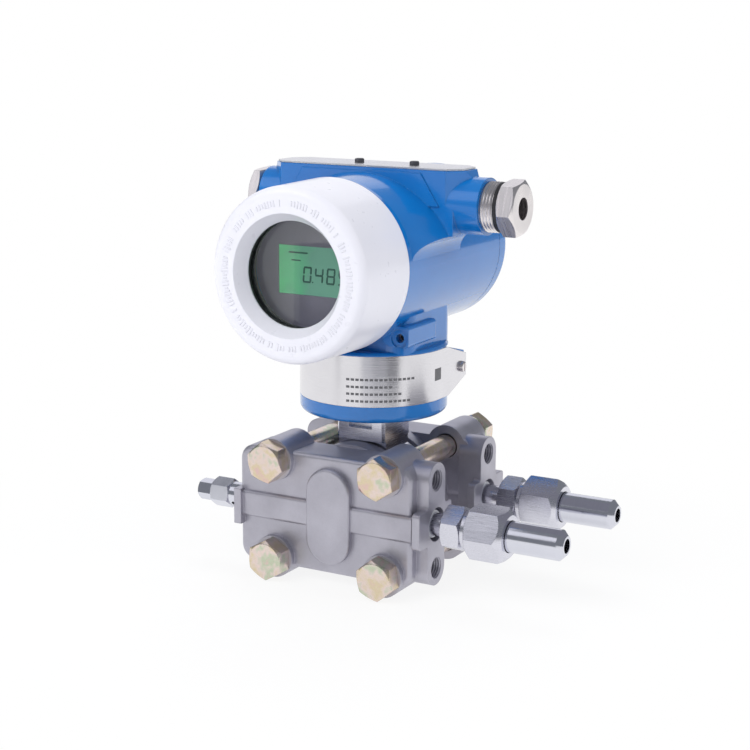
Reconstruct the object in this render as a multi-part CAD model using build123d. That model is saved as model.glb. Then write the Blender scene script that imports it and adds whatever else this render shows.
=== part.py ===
from build123d import *
import os
from math import cos, radians, sin, sqrt

# Differential pressure transmitter, in millimetres.
# While the pieces are made, the origin is the centre of the sensor cell:
# +X runs to the process ports, +Y along the flange bolts to the rear, +Z up.
# The files are written about the centre of the manifold hole pattern, on the lug faces.

# Clearances
body_gap = 0.3
thread_gap = 0.3
snug_gap = 0.05

# Process flanges
port_spacing = 54.0
lug_spacing = 41.3
lug_hole_d = 9.9
lug_hole_depth = 13.0
lug_radius = 8.2
lug_face_x = 48.0
lug_length = 12.0
wing_half_height = 8.5
wing_thickness = 3.8
wing_outer_y = 44.0
vent_face_x = 50.8
vent_z = -1.6
flange_right_x = 42.0
flange_left_x = 49.3
flange_half_height = 28.0
flange_edge_r = 2.0
flange_corner_r = 7.0
flange_inner_y = 12.4
flange_step_y = 20.2
flange_front_y = 40.5
cell_plate_r = 29.5
ridge_half_height = 6.2
ridge_height = 1.7
ridge_edge_r = 1.4
pad_width = 23.0
pad_length = 45.6
pad_height = 3.2
pad_edge_r = 1.2
wing_root_r = 1.8
port_recess_r = 7.9
port_recess_depth = 4.0
port_thread_r = 6.6
port_thread_depth = 18.0
passage_r = 3.5
chamber_r = 21.0
chamber_depth = 1.6

# Flange bolts
bolt_spacing_x = 58.0
bolt_shift_x = -0.5
bolt_spacing_z = 47.0
bolt_d = 11.1
bolt_hole_d = 11.8
bolt_head_af = 17.0
bolt_head_height = 8.0
bolt_boss_r = 10.0
bolt_boss_height = 2.7
bolt_head_turns = (30.0, 42.0, 40.0, 35.0)
nut_height = 9.5
washer_d = 19.0
washer_thickness = 2.0
bolt_end_length = 2.5

# Port fittings
adapter_af = 19.0
adapter_hex_length = 10.0
adapter_turns = {"front": 7.0, "rear": -9.0}
adapter_neck_r = 5.2
adapter_neck_length = 5.8
adapter_thread_relief = 1.5
adapter_spigot_r = 9.0
adapter_spigot_length = 10.5
adapter_spigot_chamfer = 1.0
fitting_outs = {"front": 0.0, "rear": 2.7}
fitting_bore_r = 3.25
port_seal_r = 6.5
port_seal_thickness = 2.8
port_seal_edge_r = 0.5
union_af = 22.5
union_turns = {"front": -27.0, "rear": -1.0}
union_length = 18.5
union_cone_length = 4.5
union_cone_wall = 1.6
union_lip = 4.5
union_start_gap = 2.4
nipple_r = 7.0
nipple_relief_r = 6.8
nipple_collar_r = 8.6
nipple_collar_length = 5.0
nipple_nose = 1.6
nipple_tube_length = 32.0
nipple_chamfer = 2.6

# Vent fittings
vent_thread_r = 5.2
vent_thread_depth = 12.0
vent_collar_r = 5.8
vent_collar_length = 11.0
vent_hex_af = 12.4
vent_hex_length = 10.5
vent_hex_turn = 9.0
vent_stem_af = 9.0
vent_stem_length = 8.0
vent_stem_turn = 22.0
vent_stem_pin_r = 2.2
vent_stem_pin_length = 9.0
vent_bore_r = 1.5
bleed_r = 1.3
bleed_turn = 231.0
bleed_inset = 2.5
vent_seal_r = 6.6
vent_seal_thickness = 1.6

# Sensor cell
cell_r = 28.5
gasket_r = 26.5
gasket_width = 3.5
gasket_thickness = 1.5
diaphragm_r = 21.0
diaphragm_thickness = 0.5
diaphragm_seat_depth = 1.0
diaphragm_rim = 2.0
diaphragm_wave = 0.35
diaphragm_waves = 5
neck_block_width = 25.4
neck_block_depth = 26.0
neck_slot_width = 12.3
neck_slot_height = 7.5
neck_slot_depth = 3.0
neck_corner_cut = 1.2
neck_foot_z = 24.0

# Housing base and band
base_bottom_z = 43.3
base_skirt_height = 7.9
band_height = 23.5
base_collar_height = 1.5
base_collar_edge = 1.0
base_r = 34.9
band_thickness = 0.8
base_edge_r = 3.0
ear_end_y = 27.5
ear_top_slope_y = 7.6
ear_bottom_slope_y = 9.0
ear_top_drop = 6.2
ear_bottom_rise = 6.8
ear_screw_y = 22.5
ear_screw_rise = 11.5
ear_lug_thickness = 9.0
ear_lug_rise = 1.4
band_screw_hole_depth = 7.0

# Housing neck and lock screw blocks
neck_width = 60.0
neck_depth = 50.0
neck_corner_r = 10.0
lock_block_x = 32.6
lock_block_width = 13.5
lock_block_front_y = 27.0
lock_block_drop = 36.6
lock_block_height = 9.5
lock_block_edge_r = 1.5
lock_screw_x = 27.9
lock_screw_rise = 4.0
lock_hole_r = 2.0
lock_hole_depth = 12.0
lock_screw_length = 6.0
lock_screw_inset = 4.0
lock_socket_af = 2.5
lock_socket_depth = 2.5
lock_recess_r = 4.2
lock_recess_depth = 0.8

# Barrel and covers
barrel_rise = 3.4
barrel_r = 38.1
barrel_front_y = -38.8
barrel_rear_y = 56.0
compartment_r = 31.0
partition_half = 4.0
spigot_r = 35.7
spigot_end_y = -58.0
cover_rim_r = 39.3
cover_front_r = 38.6
cover_front_y = -77.5
cover_edge_r = 4.0
cover_face_inner_r = 27.0
window_r = 23.3
window_y = -71.4
window_lip = 0.6
glass_r = 25.5
glass_thickness = 6.0
glass_edge = 0.5
glass_gasket_wall = 1.5
glass_gasket_inner_r = 24.0
seal_thickness = 2.2
seal_height = 1.6
rear_cover_flange = 10.0
rear_cover_edge_r = 4.5
rear_thread_r = 33.5
rear_thread_length = 12.0
rear_cover_wall = 3.7
rear_recess_r = 27.0
rear_recess_depth = 1.5
rear_cover_inner_depth = 3.0
wire_passage_r = 11.0
wire_passage_rise = 4.0
cable_passage_length = 26.0
cable_passage_turn = 35.0
cable_passage_tilt = 105.0
cable_passage_y = 3.0
cable_passage_drop = 2.0

# Saddle with the conduit bosses
conduit_rise = -12.2
conduit_r = 12.9
conduit_end_x = 58.5
plug_end_x = 55.6
conduit_bore_r = 10.9
conduit_bore_depth = 24.0
conduit_passage_r = 5.0
saddle_top_rise = 3.0
saddle_top_half = 49.5
saddle_shoulder = 7.5
saddle_end_x = 54.5
saddle_corner_x = 43.0
saddle_blend_r = 9.0
arch_r = 51.5
arch_drop = 11.9
arch_start_y = -34.0
panel_top_half = 30.8
panel_bottom_half = 40.0
panel_drop = 1.5
panel_height = 0.8

# Top plate
top_plate_half = 48.5
top_plate_depth = 24.0
top_plate_thickness = 0.8
top_plate_corner = 6.0
top_screw_spacing = 28.7
top_screw_offset_x = 6.2
top_screw_r = 1.6
top_screw_head_r = 2.2
top_screw_head = 1.8
top_screw_head_edge = 0.4
top_screw_depth = 6.0
screw_slot_width = 0.8
screw_slot_depth = 0.7
screw_hole_gap = 0.2
band_screw_head_r = 2.6
band_screw_dome_r = 0.9
band_screw_length = 5.0

# Cable gland and plug
gland_af = 23.0
gland_turn = -19.0
gland_thread_show = 6.4
gland_seal_thickness = 1.6
gland_seal_r = 11.3
gland_hex_length = 8.5
gland_bore_r = 5.0
gland_shank_depth = 12.0
bush_wall = 2.6
bush_length = 12.0
bush_squeeze = 0.8
plug_turn = 25.0
plug_hex_length = 5.8
plug_thread_show = 0.4
plug_seal_thickness = 0.8

# Display and electronics
bezel_r = 30.5
bezel_front_y = -51.0
bezel_thickness = 4.0
lcd_width = 38.0
lcd_height = 21.8
lcd_drop = 1.0
lcd_thickness = 2.4
lcd_recess = 0.6
board_r = 29.0
board_y = -40.0
board_thickness = 1.6
standoff_r = 2.5
standoff_circle_r = 24.0
terminal_width = 42.0
terminal_height = 24.0
terminal_depth = 14.0
terminal_pitch = 13.0
terminal_screw_r = 3.2
terminal_screw_height = 2.4
terminal_slot_width = 0.9
terminal_slot_depth = 0.7
terminal_pocket_half = 4.2
terminal_pocket_depth = 6.0
terminal_corner_r = 2.0

# Worked out from the sizes above
port_y = port_spacing / 2
lug_z = lug_spacing / 2
bolt_x = bolt_spacing_x / 2
bolt_z = bolt_spacing_z / 2
seat_y = flange_front_y + bolt_boss_height
band_seat_r = base_r - band_thickness
band_bottom_z = base_bottom_z + base_skirt_height
band_top_z = band_bottom_z + band_height
base_top_z = band_top_z + base_collar_height
ear_screw_z = band_bottom_z + ear_screw_rise
barrel_z = band_top_z + barrel_rise + barrel_r
conduit_z = barrel_z + barrel_r + conduit_rise
saddle_top_z = conduit_z + conduit_r + saddle_top_rise
lock_block_bottom_z = barrel_z - lock_block_drop
lock_screw_z = lock_block_bottom_z + lock_screw_rise
glass_seat_r = glass_r + body_gap + glass_gasket_wall
cover_bore_r = spigot_r + thread_gap
cover_rim_y = barrel_front_y - body_gap
glass_front_y = window_y + window_lip + glass_gasket_wall + body_gap
glass_rear_y = glass_front_y + glass_thickness
adapter_hex_x = lug_face_x + adapter_neck_length
adapter_end_x = adapter_hex_x + adapter_hex_length
union_x = adapter_end_x + union_start_gap
nipple_x = adapter_end_x + adapter_spigot_length + body_gap
nipple_relief_end = union_x + union_length + body_gap - nipple_x
vent_hex_x = -vent_face_x - vent_collar_length
vent_stem_x = vent_hex_x - vent_hex_length
ROW_ORIGIN = Pos(-lug_face_x, 0, 0)

# Turns that lay the local Z axis of a piece along an axis of the part
TO_RIGHT = Rot(0, 90, 0)
TO_LEFT = Rot(0, -90, 0)
TO_FRONT = Rot(90, 0, 0)
TO_REAR = Rot(-90, 0, 0)


def bar_y(radius, y_start, y_end, x=0.0, z=0.0):
    """Cylinder along Y between two planes."""
    return Pos(x, (y_start + y_end) / 2, z) * TO_REAR * Cylinder(radius, abs(y_end - y_start))


def bar_x(radius, x_start, x_end, y=0.0, z=0.0):
    """Cylinder along X between two planes."""
    return Pos((x_start + x_end) / 2, y, z) * TO_RIGHT * Cylinder(radius, abs(x_end - x_start))


def bar_z(radius, z_start, z_end, x=0.0, y=0.0):
    """Cylinder along Z between two planes."""
    return Pos(x, y, (z_start + z_end) / 2) * Cylinder(radius, abs(z_end - z_start))


def block(x_range, y_range, z_range):
    """Box between two corners."""
    sizes = [high - low for low, high in (x_range, y_range, z_range)]
    middle = [(high + low) / 2 for low, high in (x_range, y_range, z_range)]
    return Pos(*middle) * Box(*sizes)


def turned(*outline):
    """Solid of revolution about Z from a closed outline of radius and height pairs."""
    return revolve(Plane.XZ * make_face(Polyline(*outline, close=True)), Axis.Z)


def hexagon_prism(across_flats, height, turn=0.0, top=True, bottom=False):
    """Hexagon along Z whose corners are chamfered on the named ends."""
    corner_r = across_flats / sqrt(3)
    cut = corner_r - 0.95 * across_flats / 2
    rise = cut * 0.6
    prism = Rot(0, 0, turn) * extrude(RegularPolygon(across_flats / 2, 6, major_radius=False), height)
    low_end = [(corner_r - cut, 0), (corner_r, rise)] if bottom else [(corner_r + 1, 0)]
    high_end = [(corner_r, height - rise), (corner_r - cut, height)] if top else [(corner_r + 1, height)]
    return prism & turned((0, 0), *low_end, *high_end, (0, height))


def bolt_places():
    """Centres of the four flange bolts as X and Z pairs."""
    return [(bolt_shift_x + sx * bolt_x, sz * bolt_z) for sx in (-1, 1) for sz in (-1, 1)]


# Front process flange; it is alike above and below, so the rear one is the same turned about X
def lug_outline(with_wings):
    """Outline of the end plate in the YZ plane: two lugs, their web and the middle wings."""
    outline = Pos(-port_y, 0) * Rectangle(2 * lug_radius, lug_spacing)
    for side in (-1, 1):
        outline += Pos(-port_y, side * lug_z) * Circle(lug_radius)
    if with_wings:
        wing_middle = -(wing_outer_y + flange_inner_y) / 2
        wing_width = wing_outer_y - flange_inner_y
        outline += Pos(wing_middle, 0) * Rectangle(wing_width, 2 * wing_half_height)
        inner_corners = [
            v for v in outline.vertices()
            if abs(abs(v.Z) - wing_half_height) < 0.01 or abs(abs(v.Y) - wing_half_height) < 0.01
        ]
        outline = fillet(inner_corners, wing_root_r)
    return outline


def make_flange():
    middle_x = (flange_right_x - flange_left_x) / 2
    face = Pos(middle_x, 0) * RectangleRounded(
        flange_right_x + flange_left_x, 2 * flange_half_height, flange_corner_r
    )
    body = extrude(Plane.XZ.offset(flange_step_y) * face, flange_front_y - flange_step_y)
    front_edges = body.faces().sort_by(Axis.Y)[0].edges()
    body = fillet(front_edges, flange_edge_r)
    body += bar_y(cell_plate_r, -flange_step_y - 1, -flange_inner_y)
    for x, z in bolt_places():
        body += bar_y(bolt_boss_r, -seat_y, -flange_step_y, x, z)

    ridge = block(
        (-flange_left_x + flange_edge_r, flange_right_x + 1),
        (-flange_front_y - ridge_height, -flange_front_y + 1),
        (-ridge_half_height, ridge_half_height),
    )
    ridge_edges = ridge.faces().sort_by(Axis.Y)[0].edges().filter_by(Axis.X)
    body += fillet(ridge_edges, ridge_edge_r)
    pad_face = Rot(0, 0, 90) * SlotOverall(pad_length, pad_width)
    pad = extrude(Plane.XZ.offset(flange_front_y - 1) * pad_face, pad_height + 1)
    pad = fillet(pad.faces().sort_by(Axis.Y)[0].edges(), pad_edge_r)
    body += pad

    spine = extrude(Plane.YZ.offset(lug_face_x - lug_length) * lug_outline(False), lug_length)
    plate = extrude(Plane.YZ.offset(lug_face_x - wing_thickness) * lug_outline(True), wing_thickness)
    body += spine + plate
    body += block(
        (-vent_face_x, -vent_face_x + wing_thickness),
        (-wing_outer_y, -flange_inner_y),
        (vent_z - wing_half_height, vent_z + wing_half_height),
    )
    body += bar_x(wing_half_height, -vent_face_x, -flange_left_x + wing_thickness, -port_y, vent_z)

    for side in (-1, 1):
        body -= bar_x(lug_hole_d / 2, lug_face_x - lug_hole_depth, lug_face_x, -port_y, side * lug_z)
    body -= bar_x(port_recess_r, lug_face_x - port_recess_depth, lug_face_x, -port_y, 0)
    thread_start_x = lug_face_x - port_recess_depth - port_thread_depth
    body -= bar_x(port_thread_r + snug_gap, thread_start_x, lug_face_x, -port_y, 0)
    body -= bar_x(vent_thread_r + snug_gap, -vent_face_x, -vent_face_x + vent_thread_depth, -port_y, vent_z)
    body -= bar_x(passage_r, -vent_face_x + vent_thread_depth - 1, thread_start_x + 1, -port_y, 0)
    body -= bar_y(passage_r, -port_y, -flange_inner_y)
    body -= bar_y(chamber_r, -flange_inner_y - chamber_depth, -flange_inner_y)
    for x, z in bolt_places():
        body -= bar_y(bolt_hole_d / 2, -seat_y, -flange_inner_y, x, z)
    return body


def make_bolts():
    thread_end_y = seat_y + washer_thickness + nut_height + bolt_end_length
    bolts = []
    for (x, z), turn in zip(bolt_places(), bolt_head_turns):
        head = hexagon_prism(bolt_head_af, bolt_head_height, turn)
        head = Pos(x, -seat_y, z) * TO_FRONT * head
        shank = bar_y(bolt_d / 2, -seat_y - 1, thread_end_y, x, z)
        bolts.append(head + shank)
    return bolts


def make_nuts():
    nut = hexagon_prism(bolt_head_af, nut_height, top=True, bottom=True)
    nut -= bar_z(bolt_d / 2 + snug_gap, 0, nut_height)
    seat = seat_y + washer_thickness
    places = zip(bolt_places(), bolt_head_turns)
    return [Pos(x, seat, z) * TO_REAR * Rot(0, 0, turn) * nut for (x, z), turn in places]


def make_washers():
    washer = bar_z(washer_d / 2, 0, washer_thickness) - bar_z(bolt_hole_d / 2, 0, washer_thickness)
    return [Pos(x, seat_y, z) * TO_REAR * washer for x, z in bolt_places()]


# Port fittings, built along Z from the lug face and laid along +X
def make_adapter(place):
    """Port adapter; the rear one is screwed in less far, so it stands further out."""
    out = fitting_outs[place]
    hex_start = adapter_neck_length + out
    hex_end = hex_start + adapter_hex_length
    length = hex_end + adapter_spigot_length
    thread_start = -port_recess_depth - port_thread_depth + adapter_thread_relief + out
    thread = bar_z(port_thread_r, thread_start, -port_recess_depth)
    neck = bar_z(adapter_neck_r, -port_recess_depth, hex_start)
    hexagon = Pos(0, 0, hex_start) * hexagon_prism(
        adapter_af, adapter_hex_length, adapter_turns[place], top=True, bottom=True
    )
    spigot = bar_z(adapter_spigot_r, hex_end, length)
    spigot = chamfer(spigot.edges().group_by(Axis.Z)[-1], adapter_spigot_chamfer)
    return thread + neck + hexagon + spigot - bar_z(fitting_bore_r, thread_start, length)


def make_union_nut(place):
    nut = hexagon_prism(union_af, union_length, union_turns[place], top=False, bottom=True)
    corner_r = union_af / sqrt(3)
    cone = turned(
        (0, 0),
        (corner_r + 1, 0),
        (corner_r + 1, union_length - union_cone_length),
        (union_af / 2 - union_cone_wall, union_length),
        (0, union_length),
    )
    nut &= cone
    nut -= bar_z(adapter_spigot_r + thread_gap, 0, union_length - union_lip)
    nut -= bar_z(nipple_r + body_gap, 0, union_length)
    return nut


def make_nipple():
    length = nipple_collar_length + nipple_tube_length
    return turned(
        (fitting_bore_r, 0),
        (nipple_collar_r - nipple_nose, 0),
        (nipple_collar_r, nipple_nose),
        (nipple_collar_r, nipple_collar_length),
        (nipple_relief_r, nipple_collar_length),
        (nipple_relief_r, nipple_relief_end),
        (nipple_r, nipple_relief_end),
        (nipple_r, length - nipple_chamfer),
        (nipple_r - nipple_chamfer, length),
        (fitting_bore_r, length),
    )


def make_port_seal():
    ring = bar_z(port_seal_r, 0, port_seal_thickness)
    ring -= bar_z(adapter_neck_r + snug_gap, 0, port_seal_thickness)
    outer_edges = ring.edges().filter_by(GeomType.CIRCLE).sort_by(SortBy.RADIUS)[-2:]
    return fillet(outer_edges, port_seal_edge_r)


def on_port(piece, x, side):
    """Lays a piece made along Z on the port axis of one side, facing +X."""
    return Pos(x, side * port_y, 0) * TO_RIGHT * piece


# Vent fittings, built along Z from the vent face and laid along -X
def make_vent_seat():
    collar_end = vent_collar_length
    length = collar_end + vent_hex_length
    seat = bar_z(vent_thread_r, -vent_thread_depth + 1, 0) + bar_z(vent_collar_r, 0, collar_end)
    seat += Pos(0, 0, collar_end) * hexagon_prism(
        vent_hex_af, vent_hex_length, vent_hex_turn, top=True, bottom=True
    )
    seat -= bar_z(vent_bore_r, -vent_thread_depth, length)
    seat -= bar_z(vent_stem_pin_r + body_gap, length - vent_stem_pin_length, length)
    bleed = Pos(0, 0, collar_end - bleed_inset) * Rot(0, 0, bleed_turn) * TO_RIGHT * Cylinder(
        bleed_r, vent_collar_r, align=(Align.CENTER, Align.CENTER, Align.MIN)
    )
    return seat - bleed


def make_vent_stem():
    stem = hexagon_prism(vent_stem_af, vent_stem_length, vent_stem_turn, top=True, bottom=True)
    pin_end = vent_stem_pin_length - bleed_r
    pin = turned((0, -pin_end), (vent_stem_pin_r, 1 - pin_end), (vent_stem_pin_r, 1), (0, 1))
    return stem + pin


def make_vent_seal():
    ring = bar_z(vent_seal_r, 0, vent_seal_thickness)
    return ring - bar_z(vent_collar_r + snug_gap, 0, vent_seal_thickness)


def on_vent(piece, x, side):
    """Lays a piece made along Z on the vent axis of one side, facing -X."""
    return Pos(x, side * port_y, -side * vent_z) * TO_LEFT * piece


# Sensor cell between the flanges
def make_capsule():
    half = flange_inner_y - gasket_thickness
    cell = bar_y(cell_r, -half, half)
    for side in (-1, 1):
        cell -= bar_y(diaphragm_r + snug_gap, side * half, side * (half - diaphragm_seat_depth))
    return cell


def make_gasket():
    ring = bar_y(gasket_r, -flange_inner_y, -flange_inner_y + gasket_thickness)
    return ring - bar_y(gasket_r - gasket_width, -flange_inner_y, -flange_inner_y + gasket_thickness)


def make_diaphragm():
    """Thin disc with rings of waves, seated in the front face of the cell."""
    seat = -(flange_inner_y - gasket_thickness - diaphragm_seat_depth)
    steps = 2 * diaphragm_waves
    pitch = (diaphragm_r - diaphragm_rim) / steps
    crest = [(i * pitch, diaphragm_wave * (i % 2)) for i in range(steps + 1)]
    low = [(r, h) for r, h in crest] + [(diaphragm_r, 0)]
    high = [(r, h + diaphragm_thickness) for r, h in reversed(low)]
    return Pos(0, seat, 0) * TO_FRONT * turned(*low, *high)


def make_sensor_neck():
    half_width = neck_block_width / 2
    half_depth = neck_block_depth / 2
    shoulder_z = cell_plate_r + body_gap
    foot_half = flange_inner_y - gasket_thickness
    neck = block((-half_width, half_width), (-half_depth, half_depth), (shoulder_z, base_bottom_z))
    neck = chamfer(neck.edges().filter_by(Axis.Z), neck_corner_cut)
    neck += block((-half_width, half_width), (-foot_half, foot_half), (neck_foot_z, shoulder_z))
    neck -= bar_y(cell_r, -half_depth, half_depth)
    for side in (-1, 1):
        slot_y = sorted((side * half_depth, side * (half_depth - neck_slot_depth)))
        neck -= block(
            (-neck_slot_width / 2, neck_slot_width / 2),
            slot_y,
            (base_bottom_z - neck_slot_height, base_bottom_z),
        )
    return neck


# Housing casting
def saddle_outline():
    """Front view of the saddle: flat top, sloped shoulders, open at the conduit axis."""
    half = [
        (saddle_top_half, saddle_top_z),
        (saddle_end_x, saddle_top_z - saddle_shoulder),
        (saddle_end_x, conduit_z),
    ]
    return half + [(-x, z) for x, z in reversed(half)]


def boss_end_x(side):
    """Distance of a conduit boss face from the middle: gland side 1, plug side -1."""
    return conduit_end_x if side > 0 else plug_end_x


def blend_centre_x():
    """X of the blend circle that touches the barrel and the underside of the saddle."""
    drop = conduit_z - conduit_r - saddle_blend_r - barrel_z
    return sqrt((barrel_r + saddle_blend_r) ** 2 - drop**2)


def make_saddle():
    underside_z = conduit_z - conduit_r
    blend_x = blend_centre_x()
    blend_z = underside_z - saddle_blend_r
    top_face = make_face(Polyline(*saddle_outline(), close=True))
    saddle = extrude(Plane.XZ.offset(-conduit_r) * top_face, 2 * conduit_r)
    plan = [(saddle_corner_x, conduit_r), (saddle_end_x, 0), (saddle_corner_x, -conduit_r)]
    plan += [(-x, y) for x, y in reversed(plan)]
    saddle &= extrude(Plane.XY.offset(conduit_z) * make_face(Polyline(*plan, close=True)), saddle_top_z - conduit_z)
    web_face = make_face(
        Polyline((-blend_x, blend_z), (blend_x, blend_z), (blend_x, conduit_z), (-blend_x, conduit_z), close=True)
    )
    web = extrude(Plane.XZ.offset(-conduit_r) * web_face, 2 * conduit_r)
    flare = loft(
        [
            Plane.XZ.offset(-arch_start_y) * Pos(0, barrel_z) * Circle(barrel_r),
            Plane.XZ.offset(conduit_r) * Pos(0, barrel_z - arch_drop) * Circle(arch_r),
        ]
    )
    flare &= block((-blend_x, blend_x), (arch_start_y, 0), (blend_z, saddle_top_z))
    saddle += web + flare
    for side in (-1, 1):
        saddle -= bar_y(saddle_blend_r, arch_start_y, conduit_r, side * blend_x, blend_z)
    for side in (-1, 1):
        boss_ends = sorted((0.0, side * boss_end_x(side)))
        saddle += bar_x(conduit_r, *boss_ends, 0, conduit_z)
    panel_face = make_face(
        Polyline(
            (-panel_top_half, saddle_top_z - panel_drop),
            (panel_top_half, saddle_top_z - panel_drop),
            (panel_bottom_half, conduit_z),
            (-panel_bottom_half, conduit_z),
            close=True,
        )
    )
    saddle += extrude(Plane.XZ.offset(conduit_r - 1) * panel_face, panel_height + 1)
    return saddle


def make_base():
    base = bar_z(base_r, base_bottom_z, band_bottom_z)
    base = fillet(base.edges().group_by(Axis.Z)[0], base_edge_r)
    base += bar_z(band_seat_r, band_bottom_z - 1, band_top_z)
    collar = bar_z(base_r, band_top_z, base_top_z)
    base += chamfer(collar.edges().group_by(Axis.Z)[-1], base_collar_edge)
    for side in (-1, 1):
        lug_face = make_face(
            Polyline(
                (0, band_top_z),
                (ear_top_slope_y, band_top_z),
                (ear_end_y - 1, band_top_z - ear_top_drop + ear_lug_rise),
                (ear_end_y - 1, band_bottom_z + ear_bottom_rise),
                (ear_bottom_slope_y, band_bottom_z),
                (0, band_bottom_z),
                close=True,
            )
        )
        lug_x = band_seat_r - ear_lug_thickness if side > 0 else -band_seat_r
        lug = extrude(Plane.YZ.offset(lug_x) * lug_face, ear_lug_thickness)
        base += lug
    return base


def make_lock_block(side):
    """Block beside the neck with a threaded hole; side 1 faces the front, -1 the rear."""
    x_range = sorted((side * lock_block_x, side * (lock_block_x - lock_block_width)))
    y_range = sorted((-side * lock_block_front_y, 0.0))
    piece = block(x_range, y_range, (lock_block_bottom_z, lock_block_bottom_z + lock_block_height))
    outer_edges = piece.edges().filter_by(Axis.Y).filter_by(lambda e: side * e.center().X > lock_screw_x)
    piece = fillet(outer_edges, lock_block_edge_r)
    piece = fillet(piece.edges().filter_by(Axis.Y).filter_by(
        lambda e: side * e.center().X < lock_screw_x - lock_recess_r), lock_recess_r)
    recess_ends = sorted((-side * lock_block_front_y, -side * (lock_block_front_y - lock_recess_depth)))
    return piece - bar_y(lock_recess_r, *recess_ends, side * lock_screw_x, lock_screw_z)


def make_housing():
    body = bar_y(barrel_r, barrel_front_y, barrel_rear_y, 0, barrel_z)
    body += bar_y(spigot_r, spigot_end_y, barrel_front_y, 0, barrel_z)
    body += make_saddle()
    neck_face = RectangleRounded(neck_width, neck_depth, neck_corner_r)
    body += extrude(Plane.XY.offset(band_top_z) * neck_face, barrel_z - band_top_z)
    body += make_base()
    for side in (-1, 1):
        body += make_lock_block(side)

    body -= bar_y(compartment_r, spigot_end_y, -partition_half, 0, barrel_z)
    body -= bar_y(compartment_r, partition_half, barrel_rear_y, 0, barrel_z)
    thread_start_y = barrel_rear_y - rear_thread_length - 1
    body -= bar_y(rear_thread_r, thread_start_y, barrel_rear_y, 0, barrel_z)
    mouth_r = rear_thread_r + seal_height + 2 * body_gap
    body -= bar_y(mouth_r, barrel_rear_y - seal_thickness - body_gap, barrel_rear_y, 0, barrel_z)
    groove = bar_y(spigot_r, barrel_front_y - seal_thickness - 1, barrel_front_y - 1, 0, barrel_z)
    groove -= bar_y(spigot_r - seal_height, barrel_front_y - seal_thickness - 1, barrel_front_y - 1, 0, barrel_z)
    body -= groove
    body -= bar_z(wire_passage_r, base_bottom_z, barrel_z - compartment_r + wire_passage_rise)
    for side in (-1, 1):
        bore_end = boss_end_x(side) - conduit_bore_depth
        bore_ends = sorted((side * boss_end_x(side), side * bore_end))
        body -= bar_x(conduit_bore_r + snug_gap, *bore_ends, 0, conduit_z)
        passage = Pos(side * (bore_end + 1), cable_passage_y, conduit_z - cable_passage_drop)
        passage *= Rot(0, 0, 180 if side > 0 else 0)
        passage *= Rot(0, 0, -side * cable_passage_turn) * Rot(0, cable_passage_tilt, 0)
        body -= passage * Cylinder(
            conduit_passage_r, cable_passage_length, align=(Align.CENTER, Align.CENTER, Align.MIN)
        )
        hole_ends = sorted((-side * (lock_block_front_y + 1), -side * (lock_block_front_y - lock_hole_depth)))
        body -= bar_y(lock_hole_r, *hole_ends, side * lock_screw_x, lock_screw_z)
        screw_ends = sorted((side * band_seat_r, side * (band_seat_r - band_screw_hole_depth)))
        body -= bar_x(top_screw_r, *screw_ends, ear_screw_y, ear_screw_z)
    for x in top_screw_places():
        body -= bar_z(top_screw_r, saddle_top_z - top_screw_depth, saddle_top_z, x, 0)
    return body


# Covers, glass and seals; built along Z with the outer face towards +Z
def make_front_cover():
    depth = cover_rim_y - cover_front_y
    window_depth = window_y - cover_front_y
    seat_depth = window_depth + window_lip
    bore_depth = spigot_end_y - body_gap - 1.0 - cover_front_y
    cover = turned(
        (0, 0),
        (cover_rim_r, 0),
        (cover_front_r, depth),
        (cover_face_inner_r, depth),
        (window_r, depth - window_depth),
        (0, depth - window_depth),
    )
    outer_edge = [
        e for e in cover.edges().group_by(Axis.Z)[-1] if e.radius > cover_face_inner_r + 1
    ]
    cover = fillet(outer_edge, cover_edge_r)
    cover -= bar_z(window_r, 0, depth)
    cover -= bar_z(glass_seat_r, 0, depth - seat_depth)
    cover -= bar_z(cover_bore_r, 0, depth - bore_depth)
    return Pos(0, cover_rim_y, barrel_z) * TO_FRONT * cover


def make_front_glass():
    glass = chamfer(bar_z(glass_r, 0, glass_thickness).edges(), glass_edge)
    return Pos(0, glass_rear_y, barrel_z) * TO_FRONT * glass


def make_glass_gasket():
    """Rubber channel round the rim of the glass, open towards the middle."""
    pocket_start = glass_gasket_wall
    pocket_end = pocket_start + glass_thickness + 2 * body_gap
    front = pocket_end + glass_gasket_wall
    ring = bar_z(glass_seat_r, 0, front)
    ring -= bar_z(glass_gasket_inner_r, 0, pocket_start)
    ring -= bar_z(glass_r + body_gap, pocket_start, pocket_end)
    ring -= bar_z(window_r, pocket_end, front)
    return Pos(0, glass_rear_y + body_gap + glass_gasket_wall, barrel_z) * TO_FRONT * ring


def make_front_seal():
    rear_y = barrel_front_y - 1 - snug_gap
    front_y = barrel_front_y - 1 - seal_thickness + snug_gap
    ring = bar_y(spigot_r, front_y, rear_y, 0, barrel_z)
    return ring - bar_y(spigot_r - seal_height + snug_gap, front_y, rear_y, 0, barrel_z)


def make_rear_cover():
    skirt = rear_thread_length
    inner_r = rear_thread_r - thread_gap - rear_cover_wall
    cover = bar_z(barrel_r, skirt + body_gap, skirt + body_gap + rear_cover_flange)
    outer_edge = cover.edges().group_by(Axis.Z)[-1]
    cover = fillet(outer_edge, rear_cover_edge_r)
    top = skirt + body_gap + rear_cover_flange
    recess = turned(
        (0, top - rear_recess_depth),
        (rear_recess_r - rear_recess_depth, top - rear_recess_depth),
        (rear_recess_r, top),
        (0, top),
    )
    cover -= recess
    cover += bar_z(rear_thread_r - thread_gap, 0, skirt + body_gap)
    cover -= bar_z(inner_r, 0, skirt + body_gap + rear_cover_inner_depth)
    return Pos(0, barrel_rear_y - skirt, barrel_z) * TO_REAR * cover


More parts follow.
